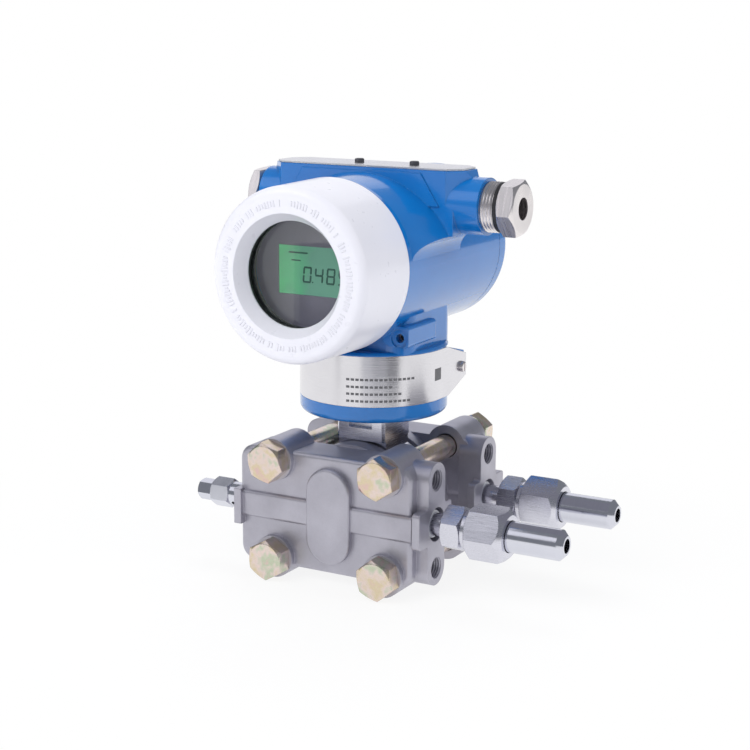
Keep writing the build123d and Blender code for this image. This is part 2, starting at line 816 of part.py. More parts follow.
def make_rear_seal():
    front_y = barrel_rear_y - seal_thickness + body_gap
    rear_y = barrel_rear_y
    ring = bar_y(rear_thread_r + seal_height, front_y, rear_y, 0, barrel_z)
    return ring - bar_y(rear_thread_r, front_y, rear_y, 0, barrel_z)


# Display and electronics inside the barrel
def standoff_places():
    """Three places on the standoff circle as X and Z pairs about the barrel axis."""
    angles = [radians(90 + 120 * i) for i in range(3)]
    return [(standoff_circle_r * cos(a), standoff_circle_r * sin(a)) for a in angles]


def make_bezel():
    rear_y = bezel_front_y + bezel_thickness
    bezel = bar_y(bezel_r, bezel_front_y, rear_y, 0, barrel_z)
    lcd_z = barrel_z - lcd_drop
    bezel -= block(
        (-lcd_width / 2, lcd_width / 2),
        (bezel_front_y, rear_y),
        (lcd_z - lcd_height / 2, lcd_z + lcd_height / 2),
    )
    return bezel


def make_lcd():
    lcd_z = barrel_z - lcd_drop
    front_y = bezel_front_y + lcd_recess
    return block(
        (-lcd_width / 2 + snug_gap, lcd_width / 2 - snug_gap),
        (front_y, front_y + lcd_thickness),
        (lcd_z - lcd_height / 2 + snug_gap, lcd_z + lcd_height / 2 - snug_gap),
    )


def make_board():
    return bar_y(board_r, board_y, board_y + board_thickness, 0, barrel_z)


def make_standoffs():
    posts = []
    for x, z in standoff_places():
        posts.append(bar_y(standoff_r, board_y + board_thickness, -partition_half, x, barrel_z + z))
        posts.append(bar_y(standoff_r, bezel_front_y + bezel_thickness, board_y, x, barrel_z + z))
    return posts


def make_terminal_block():
    half = terminal_width / 2
    rear_y = partition_half + terminal_depth
    z_range = (barrel_z - terminal_height / 2, barrel_z + terminal_height / 2)
    piece = block((-half, half), (partition_half, rear_y), z_range)
    piece = fillet(piece.edges().filter_by(Axis.Y), terminal_corner_r)
    for i in (-1, 0, 1):
        middle = i * terminal_pitch
        piece -= block(
            (middle - terminal_pocket_half, middle + terminal_pocket_half),
            (rear_y - terminal_pocket_depth, rear_y),
            (barrel_z - terminal_pocket_depth, barrel_z + terminal_height / 2),
        )
    return piece


def make_terminal_screws():
    seat = partition_half + terminal_depth - terminal_pocket_depth
    screws = []
    for i in (-1, 0, 1):
        screw = bar_z(terminal_screw_r, 0, terminal_screw_height)
        slot = Box(2 * terminal_screw_r, terminal_slot_width, 2 * terminal_slot_depth)
        screw -= Pos(0, 0, terminal_screw_height) * slot
        screws.append(Pos(i * terminal_pitch, seat, barrel_z) * TO_REAR * screw)
    return screws


# Top plate, name band and small screws
def top_screw_places():
    """X of the two screws of the top plate."""
    return [top_screw_offset_x + side * top_screw_spacing / 2 for side in (-1, 1)]


def screw_slot(head_r):
    """Cutter for the straight slot of a small screw."""
    return Box(2 * head_r, screw_slot_width, 2 * screw_slot_depth)


def make_top_plate():
    face = Rectangle(2 * top_plate_half, top_plate_depth)
    face = chamfer(face.vertices(), top_plate_corner)
    for x in top_screw_places():
        face -= Pos(x, 0) * Circle(top_screw_r + screw_hole_gap)
    return extrude(Plane.XY.offset(saddle_top_z) * face, top_plate_thickness)


def make_top_screws():
    head_z = saddle_top_z + top_plate_thickness
    screws = []
    for x in top_screw_places():
        head = bar_z(top_screw_head_r, head_z, head_z + top_screw_head, x, 0)
        head = chamfer(head.edges().group_by(Axis.Z)[-1], top_screw_head_edge)
        head -= Pos(x, 0, head_z + top_screw_head) * screw_slot(top_screw_head_r)
        shank = bar_z(top_screw_r - snug_gap, head_z - top_screw_depth, head_z, x, 0)
        screws.append(head + shank)
    return screws


def make_name_band():
    """Strip round the front half of the base that leaves in two straight ears along +Y."""
    ring = bar_z(base_r, band_bottom_z, band_top_z) - bar_z(band_seat_r, band_bottom_z, band_top_z)
    band = ring & block((-base_r, base_r), (-base_r, 0), (band_bottom_z, band_top_z))
    ear_face = make_face(
        Polyline(
            (0, band_top_z),
            (ear_top_slope_y, band_top_z),
            (ear_end_y, band_top_z - ear_top_drop),
            (ear_end_y, band_bottom_z + ear_bottom_rise),
            (ear_bottom_slope_y, band_bottom_z),
            (0, band_bottom_z),
            close=True,
        )
    )
    ear_face -= Pos(ear_screw_y, ear_screw_z) * Circle(top_screw_r + screw_hole_gap)
    for start_x in (band_seat_r, -base_r):
        band += extrude(Plane.YZ.offset(start_x) * ear_face, band_thickness)
    return band


def make_band_screws():
    screws = []
    for turn, side in ((TO_RIGHT, 1), (TO_LEFT, -1)):
        head = bar_z(band_screw_head_r, 0, top_screw_head)
        head = fillet(head.edges().group_by(Axis.Z)[-1], band_screw_dome_r)
        head -= Pos(0, 0, top_screw_head) * screw_slot(band_screw_head_r)
        shank = bar_z(top_screw_r - snug_gap, -band_thickness - band_screw_length, 0)
        screws.append(Pos(side * base_r, ear_screw_y, ear_screw_z) * turn * (head + shank))
    return screws


def make_lock_screws():
    screws = []
    for side, turn in ((1, TO_FRONT), (-1, TO_REAR)):
        screw = bar_z(lock_hole_r - snug_gap, -lock_screw_length, 0)
        socket = extrude(RegularPolygon(lock_socket_af / 2, 6, major_radius=False), -lock_socket_depth)
        place = Pos(side * lock_screw_x, -side * (lock_block_front_y - lock_screw_inset), lock_screw_z)
        screws.append(place * turn * (screw - socket))
    return screws


# Cable gland on the right and plug on the left, built along Z from the boss face
def make_gland():
    thread_end = gland_thread_show + gland_seal_thickness
    shank = bar_z(conduit_bore_r, -gland_shank_depth, thread_end)
    head = Pos(0, 0, thread_end) * hexagon_prism(gland_af, gland_hex_length, gland_turn, bottom=True)
    gland = shank + head
    gland -= bar_z(gland_bore_r, -gland_shank_depth, thread_end + gland_hex_length)
    gland -= bar_z(gland_bore_r + bush_wall + snug_gap, -gland_shank_depth, thread_end)
    return Pos(conduit_end_x, 0, conduit_z) * TO_RIGHT * gland


def make_cable_bush():
    start = gland_thread_show + gland_seal_thickness - bush_length
    bush = bar_z(gland_bore_r + bush_wall, start, start + bush_length)
    bush -= bar_z(gland_bore_r - bush_squeeze, start, start + bush_length)
    return Pos(conduit_end_x, 0, conduit_z) * TO_RIGHT * bush


def make_gland_seal():
    ring = bar_z(gland_seal_r, gland_thread_show, gland_thread_show + gland_seal_thickness)
    ring -= bar_z(conduit_bore_r + snug_gap, gland_thread_show, gland_thread_show + gland_seal_thickness)
    return Pos(conduit_end_x, 0, conduit_z) * TO_RIGHT * ring


def make_plug():
    thread_end = plug_thread_show + plug_seal_thickness
    plug = bar_z(conduit_bore_r, -gland_shank_depth, thread_end)
    plug += Pos(0, 0, thread_end) * hexagon_prism(gland_af, plug_hex_length, plug_turn, bottom=True)
    return Pos(-plug_end_x, 0, conduit_z) * TO_LEFT * plug


def make_plug_seal():
    ring = bar_z(gland_seal_r, plug_thread_show, plug_thread_show + plug_seal_thickness)
    ring -= bar_z(conduit_bore_r + snug_gap, plug_thread_show, plug_thread_show + plug_seal_thickness)
    return Pos(-plug_end_x, 0, conduit_z) * TO_LEFT * ring


def make_pieces():
    """Every node of the part by name, in the cell's frame."""
    flange = make_flange()
    gasket = make_gasket()
    diaphragm = make_diaphragm()
    pieces = {
        "housing": make_housing(),
        "front_cover": make_front_cover(),
        "front_glass": make_front_glass(),
        "glass_gasket": make_glass_gasket(),
        "front_cover_seal": make_front_seal(),
        "rear_cover": make_rear_cover(),
        "rear_cover_seal": make_rear_seal(),
        "display_bezel": make_bezel(),
        "lcd_panel": make_lcd(),
        "electronics_board": make_board(),
        "board_standoffs": make_standoffs(),
        "terminal_block": make_terminal_block(),
        "terminal_screws": make_terminal_screws(),
        "top_plate": make_top_plate(),
        "top_plate_screws": make_top_screws(),
        "name_band": make_name_band(),
        "band_screws": make_band_screws(),
        "cover_lock_screws": make_lock_screws(),
        "cable_gland": make_gland(),
        "gland_seal": make_gland_seal(),
        "cable_bush": make_cable_bush(),
        "conduit_plug": make_plug(),
        "plug_seal": make_plug_seal(),
        "sensor_neck": make_sensor_neck(),
        "sensor_capsule": make_capsule(),
        "flange_bolts": make_bolts(),
        "flange_nuts": make_nuts(),
        "flange_washers": make_washers(),
    }
    for place, side in (("front", -1), ("rear", 1)):
        shown = [flange, gasket, diaphragm]
        if side > 0:
            shown = [Rot(180, 0, 0) * piece for piece in shown]
        pieces["flange_" + place] = shown[0]
        pieces["gasket_" + place] = shown[1]
        pieces["diaphragm_" + place] = shown[2]
        out = fitting_outs[place]
        pieces["port_adapter_" + place] = on_port(make_adapter(place), lug_face_x, side)
        seal_x = lug_face_x - port_recess_depth
        pieces["port_seal_" + place] = on_port(make_port_seal(), seal_x, side)
        pieces["union_nut_" + place] = on_port(make_union_nut(place), union_x + out, side)
        pieces["weld_nipple_" + place] = on_port(make_nipple(), nipple_x + out, side)
        pieces["vent_seat_" + place] = on_vent(make_vent_seat(), -vent_face_x, side)
        pieces["vent_stem_" + place] = on_vent(make_vent_stem(), vent_stem_x - body_gap, side)
        pieces["vent_seal_" + place] = on_vent(make_vent_seal(), -vent_face_x, side)
    return pieces


def write_piece(node, piece):
    """Writes one node, moved to the part's own origin."""
    solids = piece if isinstance(piece, list) else [piece]
    placed = [ROW_ORIGIN * solid for solid in solids]
    shape = placed[0] if len(placed) == 1 else Compound(children=placed)
    export_step(shape, "parts/" + node + ".step")


os.makedirs("parts", exist_ok=True)
for node, piece in make_pieces().items():
    write_piece(node, piece)
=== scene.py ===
"""Looks of a differential pressure transmitter: finishes, fine detail, floor, light and camera.

Lengths are metres in the part's own frame. Its origin is the centre of the manifold hole
pattern on the lug faces, +X leaves the process ports, +Y runs to the rear and +Z is up.
"""

import logging
import math
from dataclasses import dataclass, field
from enum import Enum
from typing import Iterable, Optional

import bpy
from mathutils import Matrix, Vector


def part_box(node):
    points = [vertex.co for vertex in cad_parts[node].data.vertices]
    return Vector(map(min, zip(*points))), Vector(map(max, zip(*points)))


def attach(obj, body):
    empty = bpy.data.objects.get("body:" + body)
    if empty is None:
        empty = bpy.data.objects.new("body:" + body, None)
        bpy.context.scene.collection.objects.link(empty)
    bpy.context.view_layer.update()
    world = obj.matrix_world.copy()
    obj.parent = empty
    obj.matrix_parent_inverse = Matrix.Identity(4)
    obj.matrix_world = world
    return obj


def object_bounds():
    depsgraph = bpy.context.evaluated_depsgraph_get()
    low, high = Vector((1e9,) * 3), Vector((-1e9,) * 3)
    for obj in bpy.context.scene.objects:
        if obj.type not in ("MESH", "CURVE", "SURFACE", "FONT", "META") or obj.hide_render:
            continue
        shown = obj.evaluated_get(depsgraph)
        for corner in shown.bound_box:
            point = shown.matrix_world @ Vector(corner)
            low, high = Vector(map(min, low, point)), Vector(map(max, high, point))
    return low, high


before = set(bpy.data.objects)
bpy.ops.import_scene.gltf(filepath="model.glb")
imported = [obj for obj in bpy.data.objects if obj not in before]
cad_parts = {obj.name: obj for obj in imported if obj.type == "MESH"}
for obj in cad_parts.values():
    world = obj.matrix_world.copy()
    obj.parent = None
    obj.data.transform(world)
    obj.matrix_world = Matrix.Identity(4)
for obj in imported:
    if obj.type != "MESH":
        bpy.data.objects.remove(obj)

CAD_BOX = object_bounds()
LOG = logging.getLogger("transmitter")

Colour = tuple[float, float, float]
Stops = tuple[tuple[float, Colour], ...]
Place = tuple[float, float, float]
Shares = tuple[float, float]

# Noise rarely leaves this part of its range, so it is spread from here.
NOISE_LOW = 0.3
NOISE_HIGH = 0.7


def mm(value: float) -> float:
    """Millimetres as metres."""
    return value * 0.001


class Body(Enum):
    """Bodies of the part that carry pieces made here."""

    FIXED = "transmitter"
    COVER = "front_cover_ring"


class Slot(Enum):
    """Material slots of the record, which the thread runs carry."""

    WHITE = "white_paint"
    CAST = "cast_steel"
    NICKEL = "nickel"
    ZINC = "zinc_steel"
    LCD = "lcd"
    PLATE = "plate_steel"


class Along(Enum):
    """Axis that a turned piece or a thread lies on, as the turn that lays +Z along it."""

    RIGHT = (0.0, math.pi / 2, 0.0)
    LEFT = (0.0, -math.pi / 2, 0.0)
    FRONT = (math.pi / 2, 0.0, 0.0)
    REAR = (-math.pi / 2, 0.0, 0.0)

    def turn(self) -> Matrix:
        """Matrix that lays +Z along this axis."""
        x, y, z = self.value
        return Matrix.Rotation(x, 4, "X") @ Matrix.Rotation(y, 4, "Y") @ Matrix.Rotation(z, 4, "Z")


class NodeTree:
    """Adds and joins the nodes of one tree."""

    def __init__(self, tree: bpy.types.NodeTree) -> None:
        """Takes a tree and empties it.

        Args:
            tree: Tree of a material, a world or a modifier.
        """
        self.tree = tree
        self.tree.nodes.clear()

    def add(self, kind: str, inputs: Optional[dict] = None, **settings) -> bpy.types.Node:
        """Adds a node.

        Args:
            kind: Blender's name of the node type.
            inputs: Socket names or numbers with a constant, or a socket to join.
            settings: Properties of the node itself.

        Returns:
            The new node.
        """
        node = self.tree.nodes.new(kind)
        for key, value in settings.items():
            setattr(node, key, value)
        for key, value in (inputs or {}).items():
            socket = node.inputs[key]
            if isinstance(value, bpy.types.NodeSocket):
                self.tree.links.new(value, socket)
            else:
                socket.default_value = value
        return node

    def sum(self, operation: str, first: object, second: object) -> bpy.types.NodeSocket:
        """Result of one Math node on two numbers or sockets."""
        return self.add("ShaderNodeMath", {0: first, 1: second}, operation=operation).outputs["Value"]


class Wiring(NodeTree):
    """Nodes of one material."""

    def __init__(self, name: str) -> None:
        """Starts an empty material.

        Args:
            name: Name of the material.
        """
        self.material = bpy.data.materials.new(name)
        self.material.use_nodes = True
        super().__init__(self.material.node_tree)

    def place(
        self, centre: Place = (0.0, 0.0, 0.0), stretch: Place = (1.0, 1.0, 1.0)
    ) -> bpy.types.NodeSocket:
        """Object coordinates about a centre, each axis times its stretch.

        Args:
            centre: Point that becomes zero.
            stretch: Factor on each axis.

        Returns:
            The vector socket.
        """
        where = self.add("ShaderNodeTexCoord")
        offset = [-c * s for c, s in zip(centre, stretch)]
        mapping = self.add(
            "ShaderNodeMapping", {"Vector": where.outputs["Object"], "Location": offset, "Scale": stretch}
        )
        return mapping.outputs["Vector"]

    def noise(
        self, vector: bpy.types.NodeSocket, scale: float, detail: float = 3.0, roughness: float = 0.5
    ) -> bpy.types.NodeSocket:
        """Noise between 0 and 1.

        Args:
            vector: Where it is read.
            scale: Cells in a metre.
            detail: Octaves.
            roughness: Share kept by each octave.

        Returns:
            The value socket.
        """
        node = self.add(
            "ShaderNodeTexNoise", {"Vector": vector, "Scale": scale, "Detail": detail, "Roughness": roughness}
        )
        return node.outputs["Fac"]

    def ramp(self, value: bpy.types.NodeSocket, stops: Stops) -> bpy.types.NodeSocket:
        """Colour from a value.

        Args:
            value: Value between 0 and 1.
            stops: Positions and colours, in rising order.

        Returns:
            The colour socket.
        """
        node = self.add("ShaderNodeValToRGB", {"Fac": value})
        elements = node.color_ramp.elements
        while len(elements) < len(stops):
            elements.new(1.0)
        for element, (position, colour) in zip(elements, stops):
            element.position = position
            element.color = (*colour, 1.0)
        return node.outputs["Color"]

    def spread(self, value: bpy.types.NodeSocket, low: float, high: float) -> bpy.types.NodeSocket:
        """Noise laid over a range.

        Args:
            value: Noise socket.
            low: Result at the noise's usual low end.
            high: Result at its usual high end.

        Returns:
            The value socket.
        """
        node = self.add(
            "ShaderNodeMapRange",
            {"Value": value, "From Min": NOISE_LOW, "From Max": NOISE_HIGH, "To Min": low, "To Max": high},
        )
        return node.outputs["Result"]

    def vary(self, value: bpy.types.NodeSocket, middle: float, shares: Shares) -> bpy.types.NodeSocket:
        """Noise laid between two shares of a middle value.

        Args:
            value: Noise socket.
            middle: Value that the shares are of.
            shares: Lower and upper share.

        Returns:
            The value socket.
        """
        return self.spread(value, middle * shares[0], middle * shares[1])

    def mix(
        self, share: float, first: bpy.types.NodeSocket, second: bpy.types.NodeSocket
    ) -> bpy.types.NodeSocket:
        """Two values mixed, with this share of the second."""
        node = self.add("ShaderNodeMix", {"Factor": share, "A": first, "B": second}, data_type="FLOAT")
        return node.outputs["Result"]

    def shade(self, value: bpy.types.NodeSocket, dark: Colour, light: Colour) -> bpy.types.NodeSocket:
        """Colour between two, by a noise."""
        return self.ramp(self.spread(value, 0.0, 1.0), ((0.0, dark), (1.0, light)))

    def edge(self, radius: float) -> bpy.types.NodeSocket:
        """Normal that rounds sharp edges by a radius in metres."""
        return self.add("ShaderNodeBevel", {"Radius": radius}, samples=4).outputs["Normal"]

    def bump(
        self, height: bpy.types.NodeSocket, depth: float, normal: Optional[bpy.types.NodeSocket] = None
    ) -> bpy.types.NodeSocket:
        """Normal with small relief.

        Args:
            height: Relief between 0 and 1.
            depth: Height of the relief in metres.
            normal: Normal that it is laid on.

        Returns:
            The normal socket.
        """
        inputs = {"Height": height, "Distance": depth, "Strength": 1.0}
        if normal is not None:
            inputs["Normal"] = normal
        return self.add("ShaderNodeBump", inputs).outputs["Normal"]

    def finish(self, shader: bpy.types.NodeSocket) -> bpy.types.Material:
        """Joins a shader to the output and gives the material."""
        self.add("ShaderNodeOutputMaterial", {"Surface": shader})
        return self.material

    def solid(self, inputs: dict) -> bpy.types.Material:
        """Ends the material in one Principled shader with these inputs."""
        return self.finish(self.add("ShaderNodeBsdfPrincipled", inputs).outputs["BSDF"])


@dataclass(frozen=True)
class Enamel:
    """Glossy sprayed paint over a casting, with a faint orange peel."""

    name: str
    colour: Colour
    shade: Colour
    roughness: float = 0.2
    roughness_shares: Shares = (0.85, 1.2)
    coat: float = 0.7
    coat_roughness: float = 0.06
    edge: float = mm(0.6)
    peel: float = mm(0.004)
    peel_scale: float = 260.0
    swell: float = mm(0.03)
    swell_scale: float = 55.0

    def make(self) -> bpy.types.Material:
        """Builds the material.

        Returns:
            The finished material.
        """
        w = Wiring(self.name)
        where = w.place()
        tone = w.noise(where, self.swell_scale, detail=4.0)
        fine = w.noise(where, self.peel_scale, detail=2.0)
        colour = w.shade(tone, self.shade, self.colour)
        swell = w.bump(w.noise(where, self.swell_scale, detail=1.0), self.swell, w.edge(self.edge))
        normal = w.bump(fine, self.peel, swell)
        return w.solid(
            {
                "Base Color": colour,
                "Roughness": w.vary(fine, self.roughness, self.roughness_shares),
                "Normal": normal,
                "Coat Weight": self.coat,
                "Coat Roughness": self.coat_roughness,
                "Coat Normal": normal,
            }
        )


@dataclass(frozen=True)
class CastMetal:
    """Bead-blasted cast steel: fine even grain with soft patches."""

    name: str
    light: Colour
    dark: Colour
    metallic: float = 0.85
    roughness: float = 0.42
    roughness_shares: Shares = (0.85, 1.15)
    grain_scale: float = 2600.0
    grain_share: float = 0.35
    grain: float = mm(0.03)
    patch_scale: float = 60.0
    edge: float = mm(0.7)

    def make(self) -> bpy.types.Material:
        """Builds the material.

        Returns:
            The finished material.
        """
        w = Wiring(self.name)
        where = w.place()
        patch = w.noise(where, self.patch_scale, detail=5.0, roughness=0.6)
        grain = w.noise(where, self.grain_scale, detail=2.0, roughness=0.6)
        speckle = w.mix(self.grain_share, patch, grain)
        colour = w.shade(speckle, self.dark, self.light)
        return w.solid(
            {
                "Base Color": colour,
                "Metallic": self.metallic,
                "Roughness": w.vary(grain, self.roughness, self.roughness_shares),
                "Normal": w.bump(grain, self.grain, w.edge(self.edge)),
            }
        )


@dataclass(frozen=True)
class WorkedMetal:
    """Turned, milled or brushed metal, with fine lines across one direction."""

    name: str
    light: Colour
    dark: Colour
    stretch: Place
    roughness: float = 0.2
    roughness_shares: Shares = (0.75, 1.3)
    line: float = mm(0.0015)
    patch_scale: float = 90.0
    patch_share: float = 0.4
    edge: float = mm(0.35)

    def make(self) -> bpy.types.Material:
        """Builds the material.

        Returns:
            The finished material.
        """
        w = Wiring(self.name)
        lines = w.noise(w.place(stretch=self.stretch), scale=1.0, roughness=0.6)
        patch = w.noise(w.place(), self.patch_scale)
        blend = w.mix(self.patch_share, lines, patch)
        colour = w.shade(blend, self.dark, self.light)
        return w.solid(
            {
                "Base Color": colour,
                "Metallic": 1.0,
                "Roughness": w.vary(lines, self.roughness, self.roughness_shares),
                "Normal": w.bump(lines, self.line, w.edge(self.edge)),
            }
        )


@dataclass(frozen=True)
class YellowZinc:
    """Yellow passivated zinc plate, whose film shows gold, rose and green."""

    name: str
    gold: Colour = (0.74, 0.63, 0.44)
    rose: Colour = (0.76, 0.53, 0.52)
    green: Colour = (0.56, 0.62, 0.46)
    pale: Colour = (0.80, 0.67, 0.62)
    film_scale: float = 75.0
    film_steps: tuple[float, ...] = (0.0, 0.3, 0.55, 0.78, 1.0)
    grain_scale: float = 1500.0
    grain: float = mm(0.001)
    roughness: float = 0.24
    roughness_shares: Shares = (0.9, 1.1)
    edge: float = mm(0.5)

    def make(self) -> bpy.types.Material:
        """Builds the material.

        Returns:
            The finished material.
        """
        w = Wiring(self.name)
        where = w.place()
        film = w.noise(where, self.film_scale, roughness=0.65)
        tones = (self.rose, self.gold, self.pale, self.green, self.rose)
        stops = tuple(zip(self.film_steps, tones))
        grain = w.noise(where, self.grain_scale, roughness=0.6)
        return w.solid(
            {
                "Base Color": w.ramp(w.spread(film, 0.0, 1.0), stops),
                "Metallic": 1.0,
                "Roughness": w.vary(grain, self.roughness, self.roughness_shares),
                "Normal": w.bump(grain, self.grain, w.edge(self.edge)),
            }
        )


@dataclass(frozen=True)
class Moulded:
    """Plastic, rubber or sealing tape with a fine skin."""

    name: str
    light: Colour
    dark: Colour
    roughness: float = 0.5
    roughness_shares: Shares = (0.85, 1.15)
    skin_scale: float = 1400.0
    skins_per_patch: float = 12.0
    skin: float = mm(0.01)
    edge: float = mm(0.25)

    def make(self) -> bpy.types.Material:
        """Builds the material.

        Returns:
            The finished material.
        """
        w = Wiring(self.name)
        where = w.place()
        skin = w.noise(where, self.skin_scale, detail=2.0)
        tone = w.noise(where, self.skin_scale / self.skins_per_patch)
        colour = w.shade(tone, self.dark, self.light)
        return w.solid(
            {
                "Base Color": colour,
                "Roughness": w.vary(skin, self.roughness, self.roughness_shares),
                "Normal": w.bump(skin, self.skin, w.edge(self.edge)),
            }
        )


@dataclass(frozen=True)
class ClearGlass:
    """Thick window glass with a faint grey green tint, which lets light through to the display."""

    name: str
    tint: Colour = (0.88, 0.93, 0.92)
    roughness: float = 0.01
    roughness_shares: Shares = (1.0, 3.0)
    smear_scale: float = 40.0
    refraction: float = 1.5

    def make(self) -> bpy.types.Material:
        """Builds the material.

        Returns:
            The finished material.
        """
        w = Wiring(self.name)
        smear = w.noise(w.place(), self.smear_scale)
        glass = w.add(
            "ShaderNodeBsdfPrincipled",
            {
                "Base Color": (*self.tint, 1.0),
                "Transmission Weight": 1.0,
                "IOR": self.refraction,
                "Roughness": w.vary(smear, self.roughness, self.roughness_shares),
            },
        )
        clear = w.add("ShaderNodeBsdfTransparent", {"Color": (*self.tint, 1.0)})
        rays = w.add("ShaderNodeLightPath")
        light = w.sum("MAXIMUM", rays.outputs["Is Shadow Ray"], rays.outputs["Is Diffuse Ray"])
        mixed = w.add("ShaderNodeMixShader", {0: light, 1: glass.outputs["BSDF"], 2: clear.outputs["BSDF"]})
        return w.finish(mixed.outputs["Shader"])


@dataclass(frozen=True)
class CrystalPanel:
    """Liquid crystal: green with a painted glow, brighter at its left end by painted light, and a faint cell
    grid.
    """

    name: str
    centre: Place
    half_width: float
    # Painted light: bright is the painted lit green at the left end, dull the green of the rest of the panel.
    bright: Colour = (0.10, 0.55, 0.22)
    dull: Colour = (0.15, 0.34, 0.25)
    # Painted glow: the panel shines by its own emission, though no lamp is behind it.
    glow: float = 0.35
    painted_light_fade_end: float = 0.45
    cloud: float = 0.08
    cloud_scale: float = 140.0
    cell_scale: float = 900.0
    cell_relief: float = mm(0.004)
    roughness: float = 0.35

    def make(self) -> bpy.types.Material:
        """Builds the material.

        Returns:
            The finished material.
        """
        w = Wiring(self.name)
        where = w.place(self.centre)
        split = w.add("ShaderNodeSeparateXYZ", {0: where})
        across = w.add(
            "ShaderNodeMapRange",
            {"Value": split.outputs["X"], "From Min": -self.half_width, "From Max": self.half_width},
        )
        cloud = w.spread(w.noise(where, self.cloud_scale, detail=2.0), -self.cloud, self.cloud)
        # Painted light: the colour runs from the painted bright left end to dull green across the panel.
        painted_light_fade = w.sum("ADD", across.outputs["Result"], cloud)
        colour = w.ramp(painted_light_fade, ((0.0, self.bright), (self.painted_light_fade_end, self.dull), (1.0, self.dull)))
        cells = w.add("ShaderNodeTexBrick", {"Vector": where, "Scale": self.cell_scale})
        return w.solid(
            {
                "Base Color": colour,
                "Roughness": self.roughness,
                # Painted glow: emission in the panel's colour stands in for light on it.
                "Emission Color": colour,
                "Emission Strength": self.glow,
                "Normal": w.bump(cells.outputs["Fac"], self.cell_relief),
            }
        )


@dataclass
class Finishes:
    """Every material of the part, made once."""

    made: dict[str, bpy.types.Material] = field(default_factory=dict)

    def build(self, sites: "Sites") -> None:
        """Makes all materials.

        Args:
            sites: Sites of the part, for the display's own place.
        """
        turned = (2200.0, 60.0, 60.0)
        milled = (120.0, 120.0, 2400.0)
        band = (60.0, 60.0, 3600.0)
        plate = (90.0, 3600.0, 90.0)
        kinds = (
            Enamel("blue_enamel", (0.003, 0.165, 0.52), (0.002, 0.150, 0.49)),
            Enamel(
                "white_enamel",
                (0.80, 0.80, 0.87),
                (0.79, 0.79, 0.86),
                roughness=0.32,
                coat=0.3,
                peel=0.0,
                swell=0.0,
            ),
            CastMetal("blasted_steel", (0.57, 0.56, 0.63), (0.43, 0.42, 0.48)),
            WorkedMetal("turned_steel", (0.72, 0.73, 0.80), (0.66, 0.67, 0.74), turned, roughness=0.15),
            WorkedMetal("milled_steel", (0.74, 0.74, 0.81), (0.67, 0.67, 0.74), milled, roughness=0.24),
            WorkedMetal("brushed_band", (0.80, 0.79, 0.82), (0.72, 0.71, 0.74), band, roughness=0.22),
            WorkedMetal("brushed_plate", (0.88, 0.88, 0.90), (0.76, 0.76, 0.78), plate, roughness=0.3),
            WorkedMetal("satin_nickel", (0.92, 0.88, 0.88), (0.82, 0.78, 0.78), turned, roughness=0.3),
            WorkedMetal("dark_screw", (0.30, 0.30, 0.33), (0.20, 0.20, 0.22), turned, roughness=0.4),
            YellowZinc("yellow_zinc"),
            Moulded("black_rubber", (0.03, 0.03, 0.033), (0.018, 0.018, 0.02), roughness=0.6),
            Moulded("sealing_tape", (0.84, 0.85, 0.89), (0.70, 0.72, 0.78), roughness=0.45),
            Moulded("bezel_plastic", (0.30, 0.25, 0.32), (0.27, 0.225, 0.29), roughness=0.42),
            Moulded("terminal_plastic", (0.03, 0.03, 0.035), (0.02, 0.02, 0.025), roughness=0.4),
            Moulded("circuit_board", (0.02, 0.16, 0.06), (0.01, 0.10, 0.04), roughness=0.3),
            Moulded("display_ink", (0.06, 0.15, 0.12), (0.05, 0.13, 0.10), roughness=0.5),
            Moulded("etched_mark", (0.16, 0.16, 0.17), (0.11, 0.11, 0.12), roughness=0.5),
            ClearGlass("window_glass"),
            # Display with a painted glow and painted light that brightens its left end.
            CrystalPanel("crystal_panel", tuple(sites.lcd), sites.lcd_half),
        )
        for kind in kinds:
            self.made[kind.name] = kind.make()

    def __getitem__(self, name: str) -> bpy.types.Material:
        """The material of that name."""
        return self.made[name]

    def dress(self, node: str, name: str) -> None:
        """Gives a CAD node its material.

        Args:
            node: Name of the CAD node.
            name: Name of the material.
        """
        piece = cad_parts[node]
        for slot in piece.material_slots:
            slot.link = "OBJECT"
            slot.material = self.made[name]
        LOG.info("dressed %s in %s", node, name)


NODE_FINISH = {
    "housing": "blue_enamel",
    "rear_cover": "blue_enamel",
    "front_cover": "white_enamel",
    "front_glass": "window_glass",
    "glass_gasket": "black_rubber",
    "front_cover_seal": "black_rubber",
    "rear_cover_seal": "black_rubber",
    "display_bezel": "bezel_plastic",
    "lcd_panel": "crystal_panel",
    "electronics_board": "circuit_board",
    "board_standoffs": "satin_nickel",
    "terminal_block": "terminal_plastic",
    "terminal_screws": "satin_nickel",
    "top_plate": "brushed_plate",
    "top_plate_screws": "dark_screw",
    "name_band": "brushed_band",
    "band_screws": "satin_nickel",
    "cover_lock_screws": "dark_screw",
    "cable_gland": "satin_nickel",
    "gland_seal": "black_rubber",
    "cable_bush": "black_rubber",
    "conduit_plug": "satin_nickel",
    "plug_seal": "black_rubber",
    "sensor_neck": "milled_steel",
    "sensor_capsule": "turned_steel",
    "flange_bolts": "yellow_zinc",
    "flange_nuts": "yellow_zinc",
    "flange_washers": "yellow_zinc",
}
SIDE_FINISH = {
    "flange": "blasted_steel",
    "gasket": "sealing_tape",
    "diaphragm": "turned_steel",
    "port_adapter": "milled_steel",
    "port_seal": "sealing_tape",
    "union_nut": "milled_steel",
    "weld_nipple": "turned_steel",
    "vent_seat": "turned_steel",
    "vent_stem": "turned_steel",
    "vent_seal": "sealing_tape",
}
SIDES = ("front", "rear")


